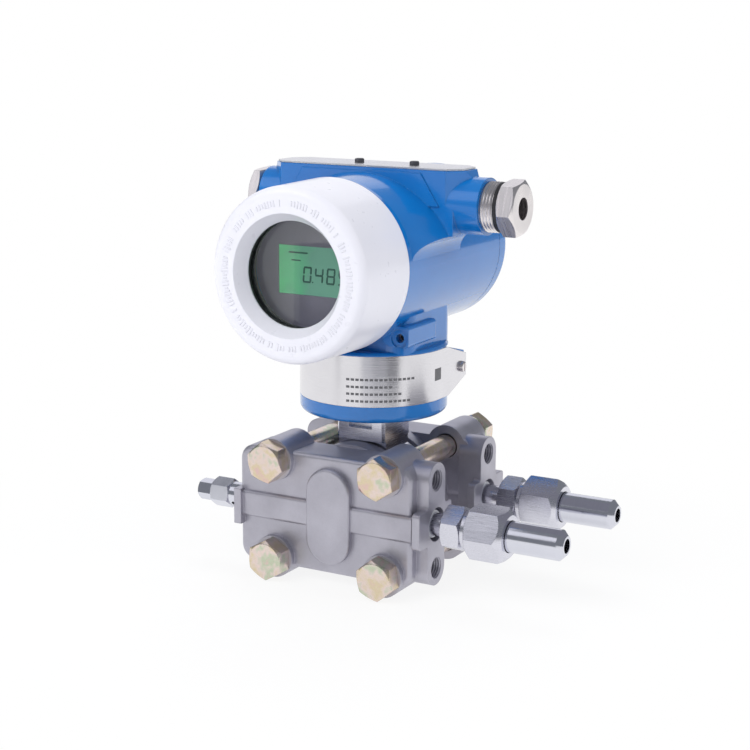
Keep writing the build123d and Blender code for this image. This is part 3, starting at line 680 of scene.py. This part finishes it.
@dataclass(frozen=True)
class Sites:
    """Axes and faces of the part, read from the frame."""

    barrel: Vector
    cover_face: float
    lcd: Vector
    lcd_face: float
    lcd_half: float
    base: Vector
    base_r: float
    band_low: float

    @classmethod
    def read(cls) -> "Sites":
        """Reads the sites from the CAD nodes' boxes.

        Returns:
            The sites of this part.
        """
        cover_low, cover_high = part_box("front_cover")
        lcd_low, lcd_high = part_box("lcd_panel")
        band_low, band_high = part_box("name_band")
        radius = (band_high.x - band_low.x) / 2
        return cls(
            barrel=(cover_low + cover_high) / 2,
            cover_face=cover_low.y,
            lcd=(lcd_low + lcd_high) / 2,
            lcd_face=lcd_low.y,
            lcd_half=(lcd_high.x - lcd_low.x) / 2,
            base=Vector(((band_low.x + band_high.x) / 2, band_low.y + radius, 0.0)),
            base_r=radius,
            band_low=band_low.z,
        )


class Tree(NodeTree):
    """Builds one Geometry Nodes tree and turns its result into a plain mesh."""

    def __init__(self, name: str) -> None:
        """Starts an empty tree.

        Args:
            name: Name of the tree.
        """
        super().__init__(bpy.data.node_groups.new(name, "GeometryNodeTree"))
        self.tree.interface.new_socket("Geometry", in_out="OUTPUT", socket_type="NodeSocketGeometry")
        self.entry = self.add("NodeGroupInput")
        self.sockets: dict[str, str] = {}

    def number(self, name: str, kind: str = "NodeSocketFloat") -> bpy.types.NodeSocket:
        """Adds a named input and gives its socket inside the tree.

        Args:
            name: Name of the input.
            kind: Blender's name of its socket type.

        Returns:
            The socket inside the tree.
        """
        item = self.tree.interface.new_socket(name, in_out="INPUT", socket_type=kind)
        self.sockets[name] = item.identifier
        return self.entry.outputs[name]

    def close(self, geometry: bpy.types.NodeSocket) -> None:
        """Ends the tree in Realize Instances and Set Material.

        Args:
            geometry: Result of the tree so far.
        """
        whole = self.add("GeometryNodeRealizeInstances", {"Geometry": geometry})
        finish = self.number("Finish", "NodeSocketMaterial")
        dressed = self.add(
            "GeometryNodeSetMaterial", {"Geometry": whole.outputs["Geometry"], "Material": finish}
        )
        self.add("NodeGroupOutput", {"Geometry": dressed.outputs["Geometry"]})

    def mesh(self, name: str, values: dict[str, object]) -> bpy.types.Mesh:
        """Evaluates the tree with these inputs.

        Args:
            name: Name of the new mesh.
            values: Input names with their values.

        Returns:
            The mesh, with nothing left live.
        """
        holder = bpy.data.objects.new(name + "_holder", bpy.data.meshes.new(name + "_holder"))
        bpy.context.scene.collection.objects.link(holder)
        modifier = holder.modifiers.new("Tree", "NODES")
        modifier.node_group = self.tree
        for key, value in values.items():
            modifier[self.sockets[key]] = value
        graph = bpy.context.evaluated_depsgraph_get()
        graph.update()
        made = bpy.data.meshes.new_from_object(holder.evaluated_get(graph), depsgraph=graph)
        holder.modifiers.remove(modifier)
        bpy.data.objects.remove(holder)
        made.name = name
        return made


def make_mark_tree() -> Tree:
    """Tree for raised strokes stood round a ring, some left out, each with its own height.

    Returns:
        The tree, closed.
    """
    tree = Tree("ring_of_strokes")
    count = tree.number("Count", "NodeSocketInt")
    radius = tree.number("Radius")
    width = tree.number("Width")
    height = tree.number("Height")
    relief = tree.number("Relief")
    keep = tree.number("Share Kept")
    shortest = tree.number("Shortest")
    seed = tree.number("Seed", "NodeSocketInt")
    ring = tree.add("GeometryNodeMeshCircle", {"Vertices": count, "Radius": radius})
    stroke_size = tree.add("ShaderNodeCombineXYZ", {"X": height, "Y": width, "Z": relief})
    stroke = tree.add("GeometryNodeMeshCube", {"Size": stroke_size.outputs["Vector"]})
    place = tree.add("GeometryNodeInputPosition")
    turn = tree.add(
        "FunctionNodeAlignRotationToVector", {"Vector": place.outputs["Position"]}, axis="X", pivot_axis="Z"
    )
    chance = tree.add("FunctionNodeRandomValue", {"Probability": keep, "Seed": seed}, data_type="BOOLEAN")
    second_seed = tree.sum("ADD", seed, 1.0)
    size = tree.add("FunctionNodeRandomValue", {2: shortest, 3: 1.0, "Seed": second_seed}, data_type="FLOAT")
    scale = tree.add("ShaderNodeCombineXYZ", {"X": size.outputs[1], "Y": 1.0, "Z": 1.0})
    stood = tree.add(
        "GeometryNodeInstanceOnPoints",
        {
            "Points": ring.outputs["Mesh"],
            "Selection": chance.outputs[3],
            "Instance": stroke.outputs["Mesh"],
            "Rotation": turn.outputs["Rotation"],
            "Scale": scale.outputs["Vector"],
        },
    )
    tree.close(stood.outputs["Instances"])
    return tree


def make_thread_tree() -> Tree:
    """Tree for the crests of a thread: rings of diamond section at an even pitch along +Z.

    Returns:
        The tree, closed.
    """
    ring_sides = 72
    section_sides = 4
    tree = Tree("thread_crests")
    turns = tree.number("Turns", "NodeSocketInt")
    pitch = tree.number("Pitch")
    radius = tree.number("Radius")
    depth = tree.number("Depth")
    circle = tree.add("GeometryNodeCurvePrimitiveCircle", {"Resolution": ring_sides, "Radius": radius})
    section = tree.add("GeometryNodeCurvePrimitiveCircle", {"Resolution": section_sides, "Radius": depth})
    crest = tree.add(
        "GeometryNodeCurveToMesh",
        {"Curve": circle.outputs["Curve"], "Profile Curve": section.outputs["Curve"]},
    )
    step = tree.add("ShaderNodeCombineXYZ", {"X": 0.0, "Y": 0.0, "Z": pitch})
    line = tree.add(
        "GeometryNodeMeshLine",
        {"Count": turns, "Start Location": (0.0, 0.0, 0.0), "Offset": step.outputs["Vector"]},
        mode="OFFSET",
    )
    rings = tree.add(
        "GeometryNodeInstanceOnPoints", {"Points": line.outputs["Mesh"], "Instance": crest.outputs["Mesh"]}
    )
    tree.close(rings.outputs["Instances"])
    return tree


def join_meshes(name: str, meshes: Iterable[bpy.types.Mesh]) -> bpy.types.Mesh:
    """One mesh from several, which are used up.

    Args:
        name: Name of the new mesh.
        meshes: Meshes in their final place, with one material among them.

    Returns:
        The joined mesh.
    """
    points: list[Vector] = []
    faces: list[tuple[int, ...]] = []
    finish = None
    for mesh in meshes:
        start = len(points)
        points.extend(v.co.copy() for v in mesh.vertices)
        faces.extend(tuple(start + i for i in p.vertices) for p in mesh.polygons)
        finish = finish or (mesh.materials[0] if mesh.materials else None)
        bpy.data.meshes.remove(mesh)
    joined = bpy.data.meshes.new(name)
    joined.from_pydata(points, [], faces)
    if finish is not None:
        joined.materials.append(finish)
    joined.update()
    return joined


def add_piece(mesh: bpy.types.Mesh, body: Body, smooth: float = 40.0) -> None:
    """Puts a finished mesh in the scene and on its body.

    Args:
        mesh: Mesh in its place in the row frame.
        body: Body that carries it.
        smooth: Angle in degrees under which edges are shaded smooth.
    """
    mesh.polygons.foreach_set("use_smooth", [True] * len(mesh.polygons))
    mesh.set_sharp_from_angle(angle=math.radians(smooth))
    piece = bpy.data.objects.new(mesh.name, mesh)
    bpy.context.scene.collection.objects.link(piece)
    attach(piece, body.value)
    LOG.info("built %s on %s", mesh.name, body.value)


@dataclass
class CoverMarks:
    """Ring of faint raised strokes on the front face of the front cover."""

    inner_radius: float = mm(29.6)
    stroke_height: float = mm(3.6)
    stroke_width: float = mm(0.7)
    relief: float = mm(0.5)
    stand_out: float = mm(0.14)
    count: int = 132
    share_kept: float = 0.72
    shortest: float = 0.45
    seed: int = 11

    def build(self, sites: Sites, finishes: Finishes) -> None:
        """Builds the ring and lays it on the cover's front face.

        Args:
            sites: Sites of the part.
            finishes: Materials of the part.
        """
        tree = make_mark_tree()
        mesh = tree.mesh(
            "cover_marks",
            {
                "Count": self.count,
                "Radius": self.inner_radius + self.stroke_height / 2,
                "Width": self.stroke_width,
                "Height": self.stroke_height,
                "Relief": self.relief,
                "Share Kept": self.share_kept,
                "Shortest": self.shortest,
                "Seed": self.seed,
                "Finish": finishes["white_enamel"],
            },
        )
        lift = sites.cover_face + self.relief / 2 - self.stand_out
        mesh.transform(Matrix.Translation((sites.barrel.x, lift, sites.barrel.z)) @ Along.FRONT.turn())
        add_piece(mesh, Body.COVER)


@dataclass
class DisplayInk:
    """Dark segments on the display: four digits and a point, a unit bar and a small flag."""

    digits: str = "0485"
    first_left: float = mm(-6.4)
    digit_width: float = mm(4.4)
    digit_height: float = mm(7.3)
    pitch: float = mm(6.0)
    top: float = mm(1.9)
    stroke: float = mm(0.85)
    stroke_gap_share: float = 0.15
    point_height_share: float = 1.01
    thickness: float = mm(0.08)
    unit_bar: tuple[float, float, float, float] = (mm(-14.6), mm(7.4), mm(10.0), mm(0.7))
    flag_bar: tuple[float, float, float, float] = (mm(-13.0), mm(4.0), mm(5.0), mm(0.6))
    lean: float = 0.08
    segments: tuple[str, ...] = (
        "abcdef",
        "bc",
        "abdeg",
        "abcdg",
        "bcfg",
        "acdfg",
        "acdefg",
        "abc",
        "abcdefg",
        "abcdfg",
    )

    def bar(self, left: float, bottom: float, width: float, height: float) -> bpy.types.Mesh:
        """Flat bar with pointed ends along its longer side, in the display's plane.

        Args:
            left: Left edge about the display's centre.
            bottom: Lower edge about the display's centre.
            width: Size across.
            height: Size upwards.

        Returns:
            The closed mesh of the bar.
        """
        nib = min(width, height) / 2
        right, top = left + width, bottom + height
        low, high = bottom + nib, top - nib
        near, far = left + nib, right - nib
        if width > height:
            outline = [(near, bottom), (far, bottom), (right, low), (far, top), (near, top), (left, low)]
        else:
            outline = [(left, low), (near, bottom), (right, low), (right, high), (near, top), (left, high)]
        count = len(outline)
        sheared = [(x + self.lean * z, z) for x, z in outline]
        points = [(x, y, z) for y in (-self.thickness, 0.0) for x, z in sheared]
        faces = [tuple(range(count)), tuple(reversed(range(count, 2 * count)))]
        for i in range(count):
            after = (i + 1) % count
            faces.append((i, i + count, after + count, after))
        mesh = bpy.data.meshes.new("segment")
        mesh.from_pydata(points, [], faces)
        return mesh

    def digit(self, value: int, left: float, bottom: float) -> list[bpy.types.Mesh]:
        """Segments of one digit.

        Args:
            value: The digit.
            left: Its left edge about the display's centre.
            bottom: Its lower edge about the display's centre.

        Returns:
            One mesh for each lit segment.
        """
        w, h, s = self.digit_width, self.digit_height, self.stroke
        half = h / 2
        gap = s * self.stroke_gap_share
        tall = half - s / 2 - gap
        places = {
            "a": (left + gap, bottom + h - s, w - 2 * gap, s),
            "d": (left + gap, bottom, w - 2 * gap, s),
            "g": (left + gap, bottom + half - s / 2, w - 2 * gap, s),
            "b": (left + w - s, bottom + half + gap, s, tall),
            "c": (left + w - s, bottom + s / 2, s, tall),
            "e": (left, bottom + s / 2, s, tall),
            "f": (left, bottom + half + gap, s, tall),
        }
        return [self.bar(*places[name]) for name in self.segments[value]]

    def build(self, sites: Sites, finishes: Finishes) -> None:
        """Builds all the ink as one mesh on the display.

        Args:
            sites: Sites of the part.
            finishes: Materials of the part.
        """
        bars: list[bpy.types.Mesh] = []
        bottom = self.top - self.digit_height
        for i, letter in enumerate(self.digits):
            bars.extend(self.digit(int(letter), self.first_left + i * self.pitch, bottom))
        point_left = self.first_left + (self.digit_width + self.pitch - self.stroke) / 2
        bars.append(self.bar(point_left, bottom, self.stroke, self.stroke * self.point_height_share))
        bars.append(self.bar(*self.unit_bar))
        bars.append(self.bar(*self.flag_bar))
        mesh = join_meshes("display_ink", bars)
        mesh.materials.append(finishes["display_ink"])
        mesh.transform(Matrix.Translation((sites.lcd.x, sites.lcd_face, sites.lcd.z)))
        add_piece(mesh, Body.FIXED, smooth=20.0)


@dataclass
class BandRules:
    """Four plain etched rules and a small square on the band."""

    rows: tuple[float, ...] = (mm(12.8), mm(9.4), mm(6.1), mm(2.8))
    start_deg: float = 8.0
    end_degs: tuple[float, ...] = (64.0, 44.0, 52.0, 58.0)
    height: float = mm(1.1)
    dash_deg: float = 2.6
    gap_deg: float = 1.0
    proud: float = mm(0.03)
    facet_deg: float = 2.0
    square_deg: float = 87.5
    square_half: float = mm(2.8)
    square_rise: float = mm(12.2)

    def patch(self, sites: Sites, start: float, end: float, low: float, high: float) -> bpy.types.Mesh:
        """Thin closed patch on the band between two angles and two heights.

        Args:
            sites: Sites of the part.
            start: First angle in degrees, 0 facing the front.
            end: Last angle in degrees.
            low: Lower edge.
            high: Upper edge.

        Returns:
            The mesh of the patch.
        """
        steps = max(2, int((end - start) / self.facet_deg) + 1)
        points = []
        for radius in (sites.base_r + self.proud, sites.base_r - self.proud):
            for i in range(steps):
                angle = math.radians(start + (end - start) * i / (steps - 1))
                x = sites.base.x + radius * math.sin(angle)
                y = sites.base.y - radius * math.cos(angle)
                points.extend([(x, y, low), (x, y, high)])
        ring = 2 * steps
        faces = []
        for i in range(steps - 1):
            a, b, c, d = 2 * i, 2 * i + 1, 2 * i + 2, 2 * i + 3
            faces.append((a, c, d, b))
            faces.append((ring + a, ring + b, ring + d, ring + c))
            faces.append((a, ring + a, ring + c, c))
            faces.append((b, d, ring + d, ring + b))
        last = 2 * steps - 2
        faces.append((0, 1, ring + 1, ring))
        faces.append((last, ring + last, ring + last + 1, last + 1))
        mesh = bpy.data.meshes.new("patch")
        mesh.from_pydata(points, [], faces)
        return mesh

    def build(self, sites: Sites, finishes: Finishes) -> None:
        """Builds all the rules and the square as one mesh.

        Args:
            sites: Sites of the part.
            finishes: Materials of the part.
        """
        patches = []
        for row, end in zip(self.rows, self.end_degs):
            angle = self.start_deg
            while angle + self.dash_deg <= end:
                low = sites.band_low + row - self.height / 2
                patches.append(self.patch(sites, angle, angle + self.dash_deg, low, low + self.height))
                angle += self.dash_deg + self.gap_deg
        half_deg = math.degrees(self.square_half / sites.base_r)
        start, end = self.square_deg - half_deg, self.square_deg + half_deg
        middle = sites.band_low + self.square_rise
        patches.append(self.patch(sites, start, end, middle - self.square_half, middle + self.square_half))
        mesh = join_meshes("band_rules", patches)
        mesh.materials.append(finishes["etched_mark"])
        add_piece(mesh, Body.FIXED)


@dataclass(frozen=True)
class ThreadRun:
    """One visible stretch of thread."""

    name: str
    start: Place
    along: Along
    radius: float
    depth: float
    pitch: float
    turns: int
    finish: str
    slot: Slot

    def mesh(self, tree: Tree, finishes: Finishes) -> bpy.types.Mesh:
        """Makes the stretch in its place.

        Args:
            tree: Tree of the crests.
            finishes: Materials of the part.

        Returns:
            The mesh of its crests.
        """
        values = {
            "Turns": self.turns,
            "Pitch": self.pitch,
            "Radius": self.radius,
            "Depth": self.depth,
            "Finish": finishes[self.finish],
        }
        mesh = tree.mesh(self.name, values)
        mesh.transform(Matrix.Translation(self.start) @ self.along.turn())
        return mesh


@dataclass
class Threads:
    """Thread crests that show on the gland and in the lug holes."""

    gland_r: float = mm(10.9)
    gland_depth: float = mm(0.55)
    gland_pitch: float = mm(1.5)
    gland_turns: int = 4
    gland_start: float = mm(0.9)
    lug_hole_r: float = mm(4.95)
    lug_y: float = mm(27.0)
    lug_z: float = mm(20.65)
    lug_depth: float = mm(0.5)
    lug_pitch: float = mm(1.27)
    lug_turns: int = 8
    lug_start: float = mm(0.9)

    def runs(self) -> list[ThreadRun]:
        """Every stretch of thread, from the frame's boxes.

        Returns:
            The stretches, gland first.
        """
        seal_low, seal_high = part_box("gland_seal")
        middle = (seal_low + seal_high) / 2
        boss_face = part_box("housing")[1].x
        runs = [
            ThreadRun(
                "gland_thread",
                (boss_face + self.gland_start, middle.y, middle.z),
                Along.RIGHT,
                self.gland_r,
                self.gland_depth,
                self.gland_pitch,
                self.gland_turns,
                "satin_nickel",
                Slot.NICKEL,
            )
        ]
        for side_name, side in zip(SIDES, (-1, 1)):
            for level_name, level in (("low", -1), ("high", 1)):
                runs.append(
                    ThreadRun(
                        f"lug_thread_{side_name}_{level_name}",
                        (-self.lug_start, side * self.lug_y, level * self.lug_z),
                        Along.LEFT,
                        self.lug_hole_r,
                        self.lug_depth,
                        self.lug_pitch,
                        self.lug_turns,
                        "blasted_steel",
                        Slot.CAST,
                    )
                )
        return runs

    def build(self, finishes: Finishes) -> None:
        """Builds each stretch as its own mesh.

        Args:
            finishes: Materials of the part.
        """
        tree = make_thread_tree()
        for run in self.runs():
            add_piece(run.mesh(tree, finishes), Body.FIXED)


@dataclass
class BoltThreads:
    """Thread crests on the four bolt ends behind the nuts."""

    pitch: float = mm(1.5)
    radius: float = mm(5.3)
    depth: float = mm(0.5)
    turns: int = 2
    washer_r: float = mm(9.5)
    first_crest: float = mm(0.6)

    def build(self, finishes: Finishes) -> None:
        """Builds the four stretches as one mesh.

        Args:
            finishes: Materials of the part.
        """
        tree = make_thread_tree()
        low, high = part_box("flange_washers")
        nut_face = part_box("flange_nuts")[1].y
        half_x = (high.x - low.x) / 2 - self.washer_r
        half_z = (high.z - low.z) / 2 - self.washer_r
        middle = (low + high) / 2
        meshes = []
        for sx in (-1, 1):
            for sz in (-1, 1):
                run = ThreadRun(
                    "bolt_thread",
                    (middle.x + sx * half_x, nut_face + self.first_crest, middle.z + sz * half_z),
                    Along.REAR,
                    self.radius,
                    self.depth,
                    self.pitch,
                    self.turns,
                    "yellow_zinc",
                    Slot.ZINC,
                )
                meshes.append(run.mesh(tree, finishes))
        add_piece(join_meshes("bolt_threads", meshes), Body.FIXED)


TARGET: Place = (mm(-47.4), 0.0, mm(58.9))


@dataclass(frozen=True)
class Lamp:
    """Soft area lamp that points at the part."""

    name: str
    turn: float
    rise: float
    reach: float
    width: float
    height: float
    power: float


@dataclass(frozen=True)
class Card:
    """Glowing card that only reflections see: bright as a softbox, dark as a flag."""

    name: str
    turn: float
    rise: float
    reach: float
    width: float
    height: float
    tone: Colour
    middle: Place = TARGET


# Name, turn and rise in degrees, reach, width and height in metres, power in watts.
LAMPS = (
    Lamp("key_lamp", -25.0, 38.0, 1.3, 0.9, 0.7, 9.0),
    Lamp("fill_lamp", 95.0, 25.0, 1.3, 0.8, 0.8, 4.2),
    Lamp("back_lamp", 200.0, 60.0, 1.4, 0.9, 0.5, 5.0),
)
# Name, turn and rise in degrees, reach, width and height in metres, tone, and middle if not the target.
CARDS = (
    Card("front_softbox", -41.0, 42.0, 1.1, 0.75, 0.6, (1.0, 1.0, 1.05)),
    Card("back_softbox", -151.0, 24.0, 1.0, 0.9, 0.8, (0.95, 0.95, 1.0)),
    Card("fittings_flag", 90.0, 90.0, 0.034, 0.104, 0.060, (0.24, 0.24, 0.28), (0.042, 0.0, 0.0)),
    Card("front_flag", -26.0, -10.0, 0.55, 0.045, 0.2, (0.12, 0.12, 0.16)),
    Card("camera_flag", 57.0, -10.0, 0.4, 0.13, 0.2, (0.12, 0.125, 0.15)),
    Card("room_flag", 37.0, -10.0, 0.41, 0.15, 0.2, (0.30, 0.31, 0.35)),
    Card("door_flag", 19.0, -10.0, 0.42, 0.12, 0.2, (0.52, 0.53, 0.58)),
)


@dataclass
class Studio:
    """Pale floor, white background, soft lamps, dark flags and the camera of the photograph."""

    azimuth: float = 29.107
    elevation: float = 12.301
    roll: float = 0.285
    distance: float = mm(781.0)
    target: Place = TARGET
    focal_px: float = 1650.7
    frame_px: float = 750.0
    sensor: float = 36.0
    clip: tuple[float, float] = (0.01, 50.0)
    floor_half: float = 3.0
    shadow_near: float = mm(70.0)
    shadow_far: float = mm(260.0)
    near_glow: float = 0.86
    near_shine: float = 0.7
    soft_light: float = 0.6
    soft_tone: Colour = (0.97, 0.98, 1.0)
    room_shine: float = 0.26
    room_tone: Colour = (0.88, 0.92, 1.0)
    floor_light: Colour = (0.93, 0.93, 0.94)
    floor_dark: Colour = (0.90, 0.90, 0.91)
    floor_roughness: float = 0.9
    floor_scale: float = 30.0
    card_scale: float = 12.0
    card_dull_share: float = 0.9

    def way(self, turn: float, rise: float) -> Vector:
        """Unit vector from the target at a turn and a rise in degrees.

        Args:
            turn: Degrees from the front, to the right.
            rise: Degrees above the horizon.

        Returns:
            The unit vector.
        """
        a = math.radians(turn)
        e = math.radians(rise)
        return Vector((math.sin(a) * math.cos(e), -math.cos(a) * math.cos(e), math.sin(e)))

    def facing(self, middle: Place, way: Vector, reach: float) -> Matrix:
        """Place of a lamp or card that stands at a reach along a way from a middle and faces it."""
        turn = way.to_track_quat("Z", "Y").to_matrix().to_4x4()
        return Matrix.Translation(Vector(middle) + way * reach) @ turn

    def add_camera(self) -> None:
        """Sets the camera at the photograph's place."""
        back = self.way(self.azimuth, self.elevation)
        a = math.radians(self.azimuth)
        right = Vector((math.cos(a), math.sin(a), 0.0))
        up = back.cross(right)
        r = math.radians(self.roll)
        right, up = right * math.cos(r) + up * math.sin(r), up * math.cos(r) - right * math.sin(r)
        data = bpy.data.cameras.new("camera")
        data.sensor_width = self.sensor
        data.lens = self.focal_px / self.frame_px * self.sensor
        data.clip_start, data.clip_end = self.clip
        camera = bpy.data.objects.new("camera", data)
        turn = Matrix((right, up, back)).transposed().to_4x4()
        camera.matrix_world = Matrix.Translation(Vector(self.target) + back * self.distance) @ turn
        bpy.context.scene.collection.objects.link(camera)
        bpy.context.scene.camera = camera

    def glow_share(self, w: Wiring) -> bpy.types.NodeSocket:
        """Share of plain white in the floor: whole far away, less near the part, where its shadow lies.

        Args:
            w: Nodes of the floor's material.

        Returns:
            The share's socket.
        """
        rays = w.add("ShaderNodeLightPath")
        shiny = w.sum("MAXIMUM", rays.outputs["Is Glossy Ray"], rays.outputs["Is Transmission Ray"])
        centre = (self.target[0], self.target[1], 0.0)
        away = w.add("ShaderNodeVectorMath", {0: w.place(centre, (1.0, 1.0, 0.0))}, operation="LENGTH")
        shares = []
        for near, seen in ((self.near_glow, rays.outputs["Is Camera Ray"]), (self.near_shine, shiny)):
            rise = w.add(
                "ShaderNodeMapRange",
                {
                    "Value": away.outputs["Value"],
                    "From Min": self.shadow_near,
                    "From Max": self.shadow_far,
                    "To Min": near,
                    "To Max": 1.0,
                },
                interpolation_type="SMOOTHSTEP",
            )
            shares.append(w.sum("MULTIPLY", rise.outputs["Result"], seen))
        return w.sum("ADD", *shares)

    def sheet(self, name: str, width: float, height: float, level: float) -> bpy.types.Mesh:
        """Flat sheet about the origin that faces up.

        Args:
            name: Name of the mesh.
            width: Size along X.
            height: Size along Y.
            level: Height that it lies at.

        Returns:
            The mesh of one face.
        """
        x, y = width / 2, height / 2
        mesh = bpy.data.meshes.new(name)
        corners = [(-x, -y, level), (x, -y, level), (x, y, level), (-x, y, level)]
        mesh.from_pydata(corners, [], [(0, 1, 2, 3)])
        return mesh

    def add_floor(self, floor_z: float) -> None:
        """Lays a wide white floor under the part.

        Args:
            floor_z: Height of the floor.
        """
        w = Wiring("floor_white")
        paper = w.noise(w.place(), self.floor_scale)
        colour = w.shade(paper, self.floor_dark, self.floor_light)
        matt = w.add("ShaderNodeBsdfPrincipled", {"Base Color": colour, "Roughness": self.floor_roughness})
        white = w.add("ShaderNodeEmission", {"Color": (1.0, 1.0, 1.0, 1.0), "Strength": 1.0})
        mixed = w.add(
            "ShaderNodeMixShader",
            {0: self.glow_share(w), 1: matt.outputs["BSDF"], 2: white.outputs["Emission"]},
        )
        mesh = self.sheet("floor", 2 * self.floor_half, 2 * self.floor_half, floor_z)
        mesh.materials.append(w.finish(mixed.outputs["Shader"]))
        floor = bpy.data.objects.new("floor", mesh)
        bpy.context.scene.collection.objects.link(floor)

    def add_world(self) -> None:
        """Lights the part evenly and shows white behind it."""
        world = bpy.data.worlds.new("studio")
        world.use_nodes = True
        w = NodeTree(world.node_tree)
        rays = w.add("ShaderNodeLightPath")
        seen = w.sum("MAXIMUM", rays.outputs["Is Camera Ray"], rays.outputs["Is Transmission Ray"])
        glows = []
        for tone, strength in (
            (self.soft_tone, self.soft_light),
            (self.room_tone, self.room_shine),
            ((1.0, 1.0, 1.0), 1.0),
        ):
            glow = w.add("ShaderNodeBackground", {"Color": (*tone, 1.0), "Strength": strength})
            glows.append(glow.outputs["Background"])
        soft, room, white = glows
        lit = w.add("ShaderNodeMixShader", {0: rays.outputs["Is Glossy Ray"], 1: soft, 2: room})
        mix = w.add("ShaderNodeMixShader", {0: seen, 1: lit.outputs["Shader"], 2: white})
        w.add("ShaderNodeOutputWorld", {"Surface": mix.outputs["Shader"]})
        bpy.context.scene.world = world

    def add_lamp(self, lamp: Lamp) -> None:
        """Adds a lamp.

        Args:
            lamp: Lamp to stand in the studio.
        """
        data = bpy.data.lights.new(lamp.name, "AREA")
        data.shape = "RECTANGLE"
        data.size = lamp.width
        data.size_y = lamp.height
        data.energy = lamp.power
        stood = bpy.data.objects.new(lamp.name, data)
        stood.matrix_world = self.facing(self.target, self.way(lamp.turn, lamp.rise), lamp.reach)
        stood.visible_glossy = False
        bpy.context.scene.collection.objects.link(stood)

    def add_card(self, card: Card) -> None:
        """Adds a card, which the camera and the shadows leave out.

        Args:
            card: Card to stand in the studio.
        """
        w = Wiring(card.name + "_grey")
        fleck = w.noise(w.place(), self.card_scale, detail=2.0)
        dull = tuple(self.card_dull_share * c for c in card.tone)
        tone = w.ramp(fleck, ((0.0, dull), (1.0, card.tone)))
        glow = w.add("ShaderNodeEmission", {"Color": tone, "Strength": 1.0})
        mesh = self.sheet(card.name, card.width, card.height, 0.0)
        mesh.materials.append(w.finish(glow.outputs["Emission"]))
        stood = bpy.data.objects.new(card.name, mesh)
        stood.matrix_world = self.facing(card.middle, self.way(card.turn, card.rise), card.reach)
        stood.visible_camera = False
        stood.visible_diffuse = False
        stood.visible_shadow = False
        bpy.context.scene.collection.objects.link(stood)

    def build(self, floor_z: float) -> None:
        """Builds the whole studio.

        Args:
            floor_z: Height of the floor.
        """
        self.add_camera()
        self.add_floor(floor_z)
        self.add_world()
        for lamp in LAMPS:
            self.add_lamp(lamp)
        for card in CARDS:
            self.add_card(card)


def dress_nodes(finishes: Finishes) -> None:
    """Gives every CAD node its material.

    Args:
        finishes: Materials of the part.
    """
    for node, name in NODE_FINISH.items():
        finishes.dress(node, name)
    for kind, name in SIDE_FINISH.items():
        for side in SIDES:
            finishes.dress(f"{kind}_{side}", name)


def main() -> None:
    """Builds the looks of the part in order."""
    logging.basicConfig(level=logging.INFO, format="%(message)s")
    bpy.context.scene.view_settings.view_transform = "Standard"
    sites = Sites.read()
    finishes = Finishes()
    finishes.build(sites)
    Studio().build(CAD_BOX[0].z)
    dress_nodes(finishes)
    CoverMarks().build(sites, finishes)
    DisplayInk().build(sites, finishes)
    BandRules().build(sites, finishes)
    Threads().build(finishes)
    BoltThreads().build(finishes)


if __name__ == "__main__":
    main()
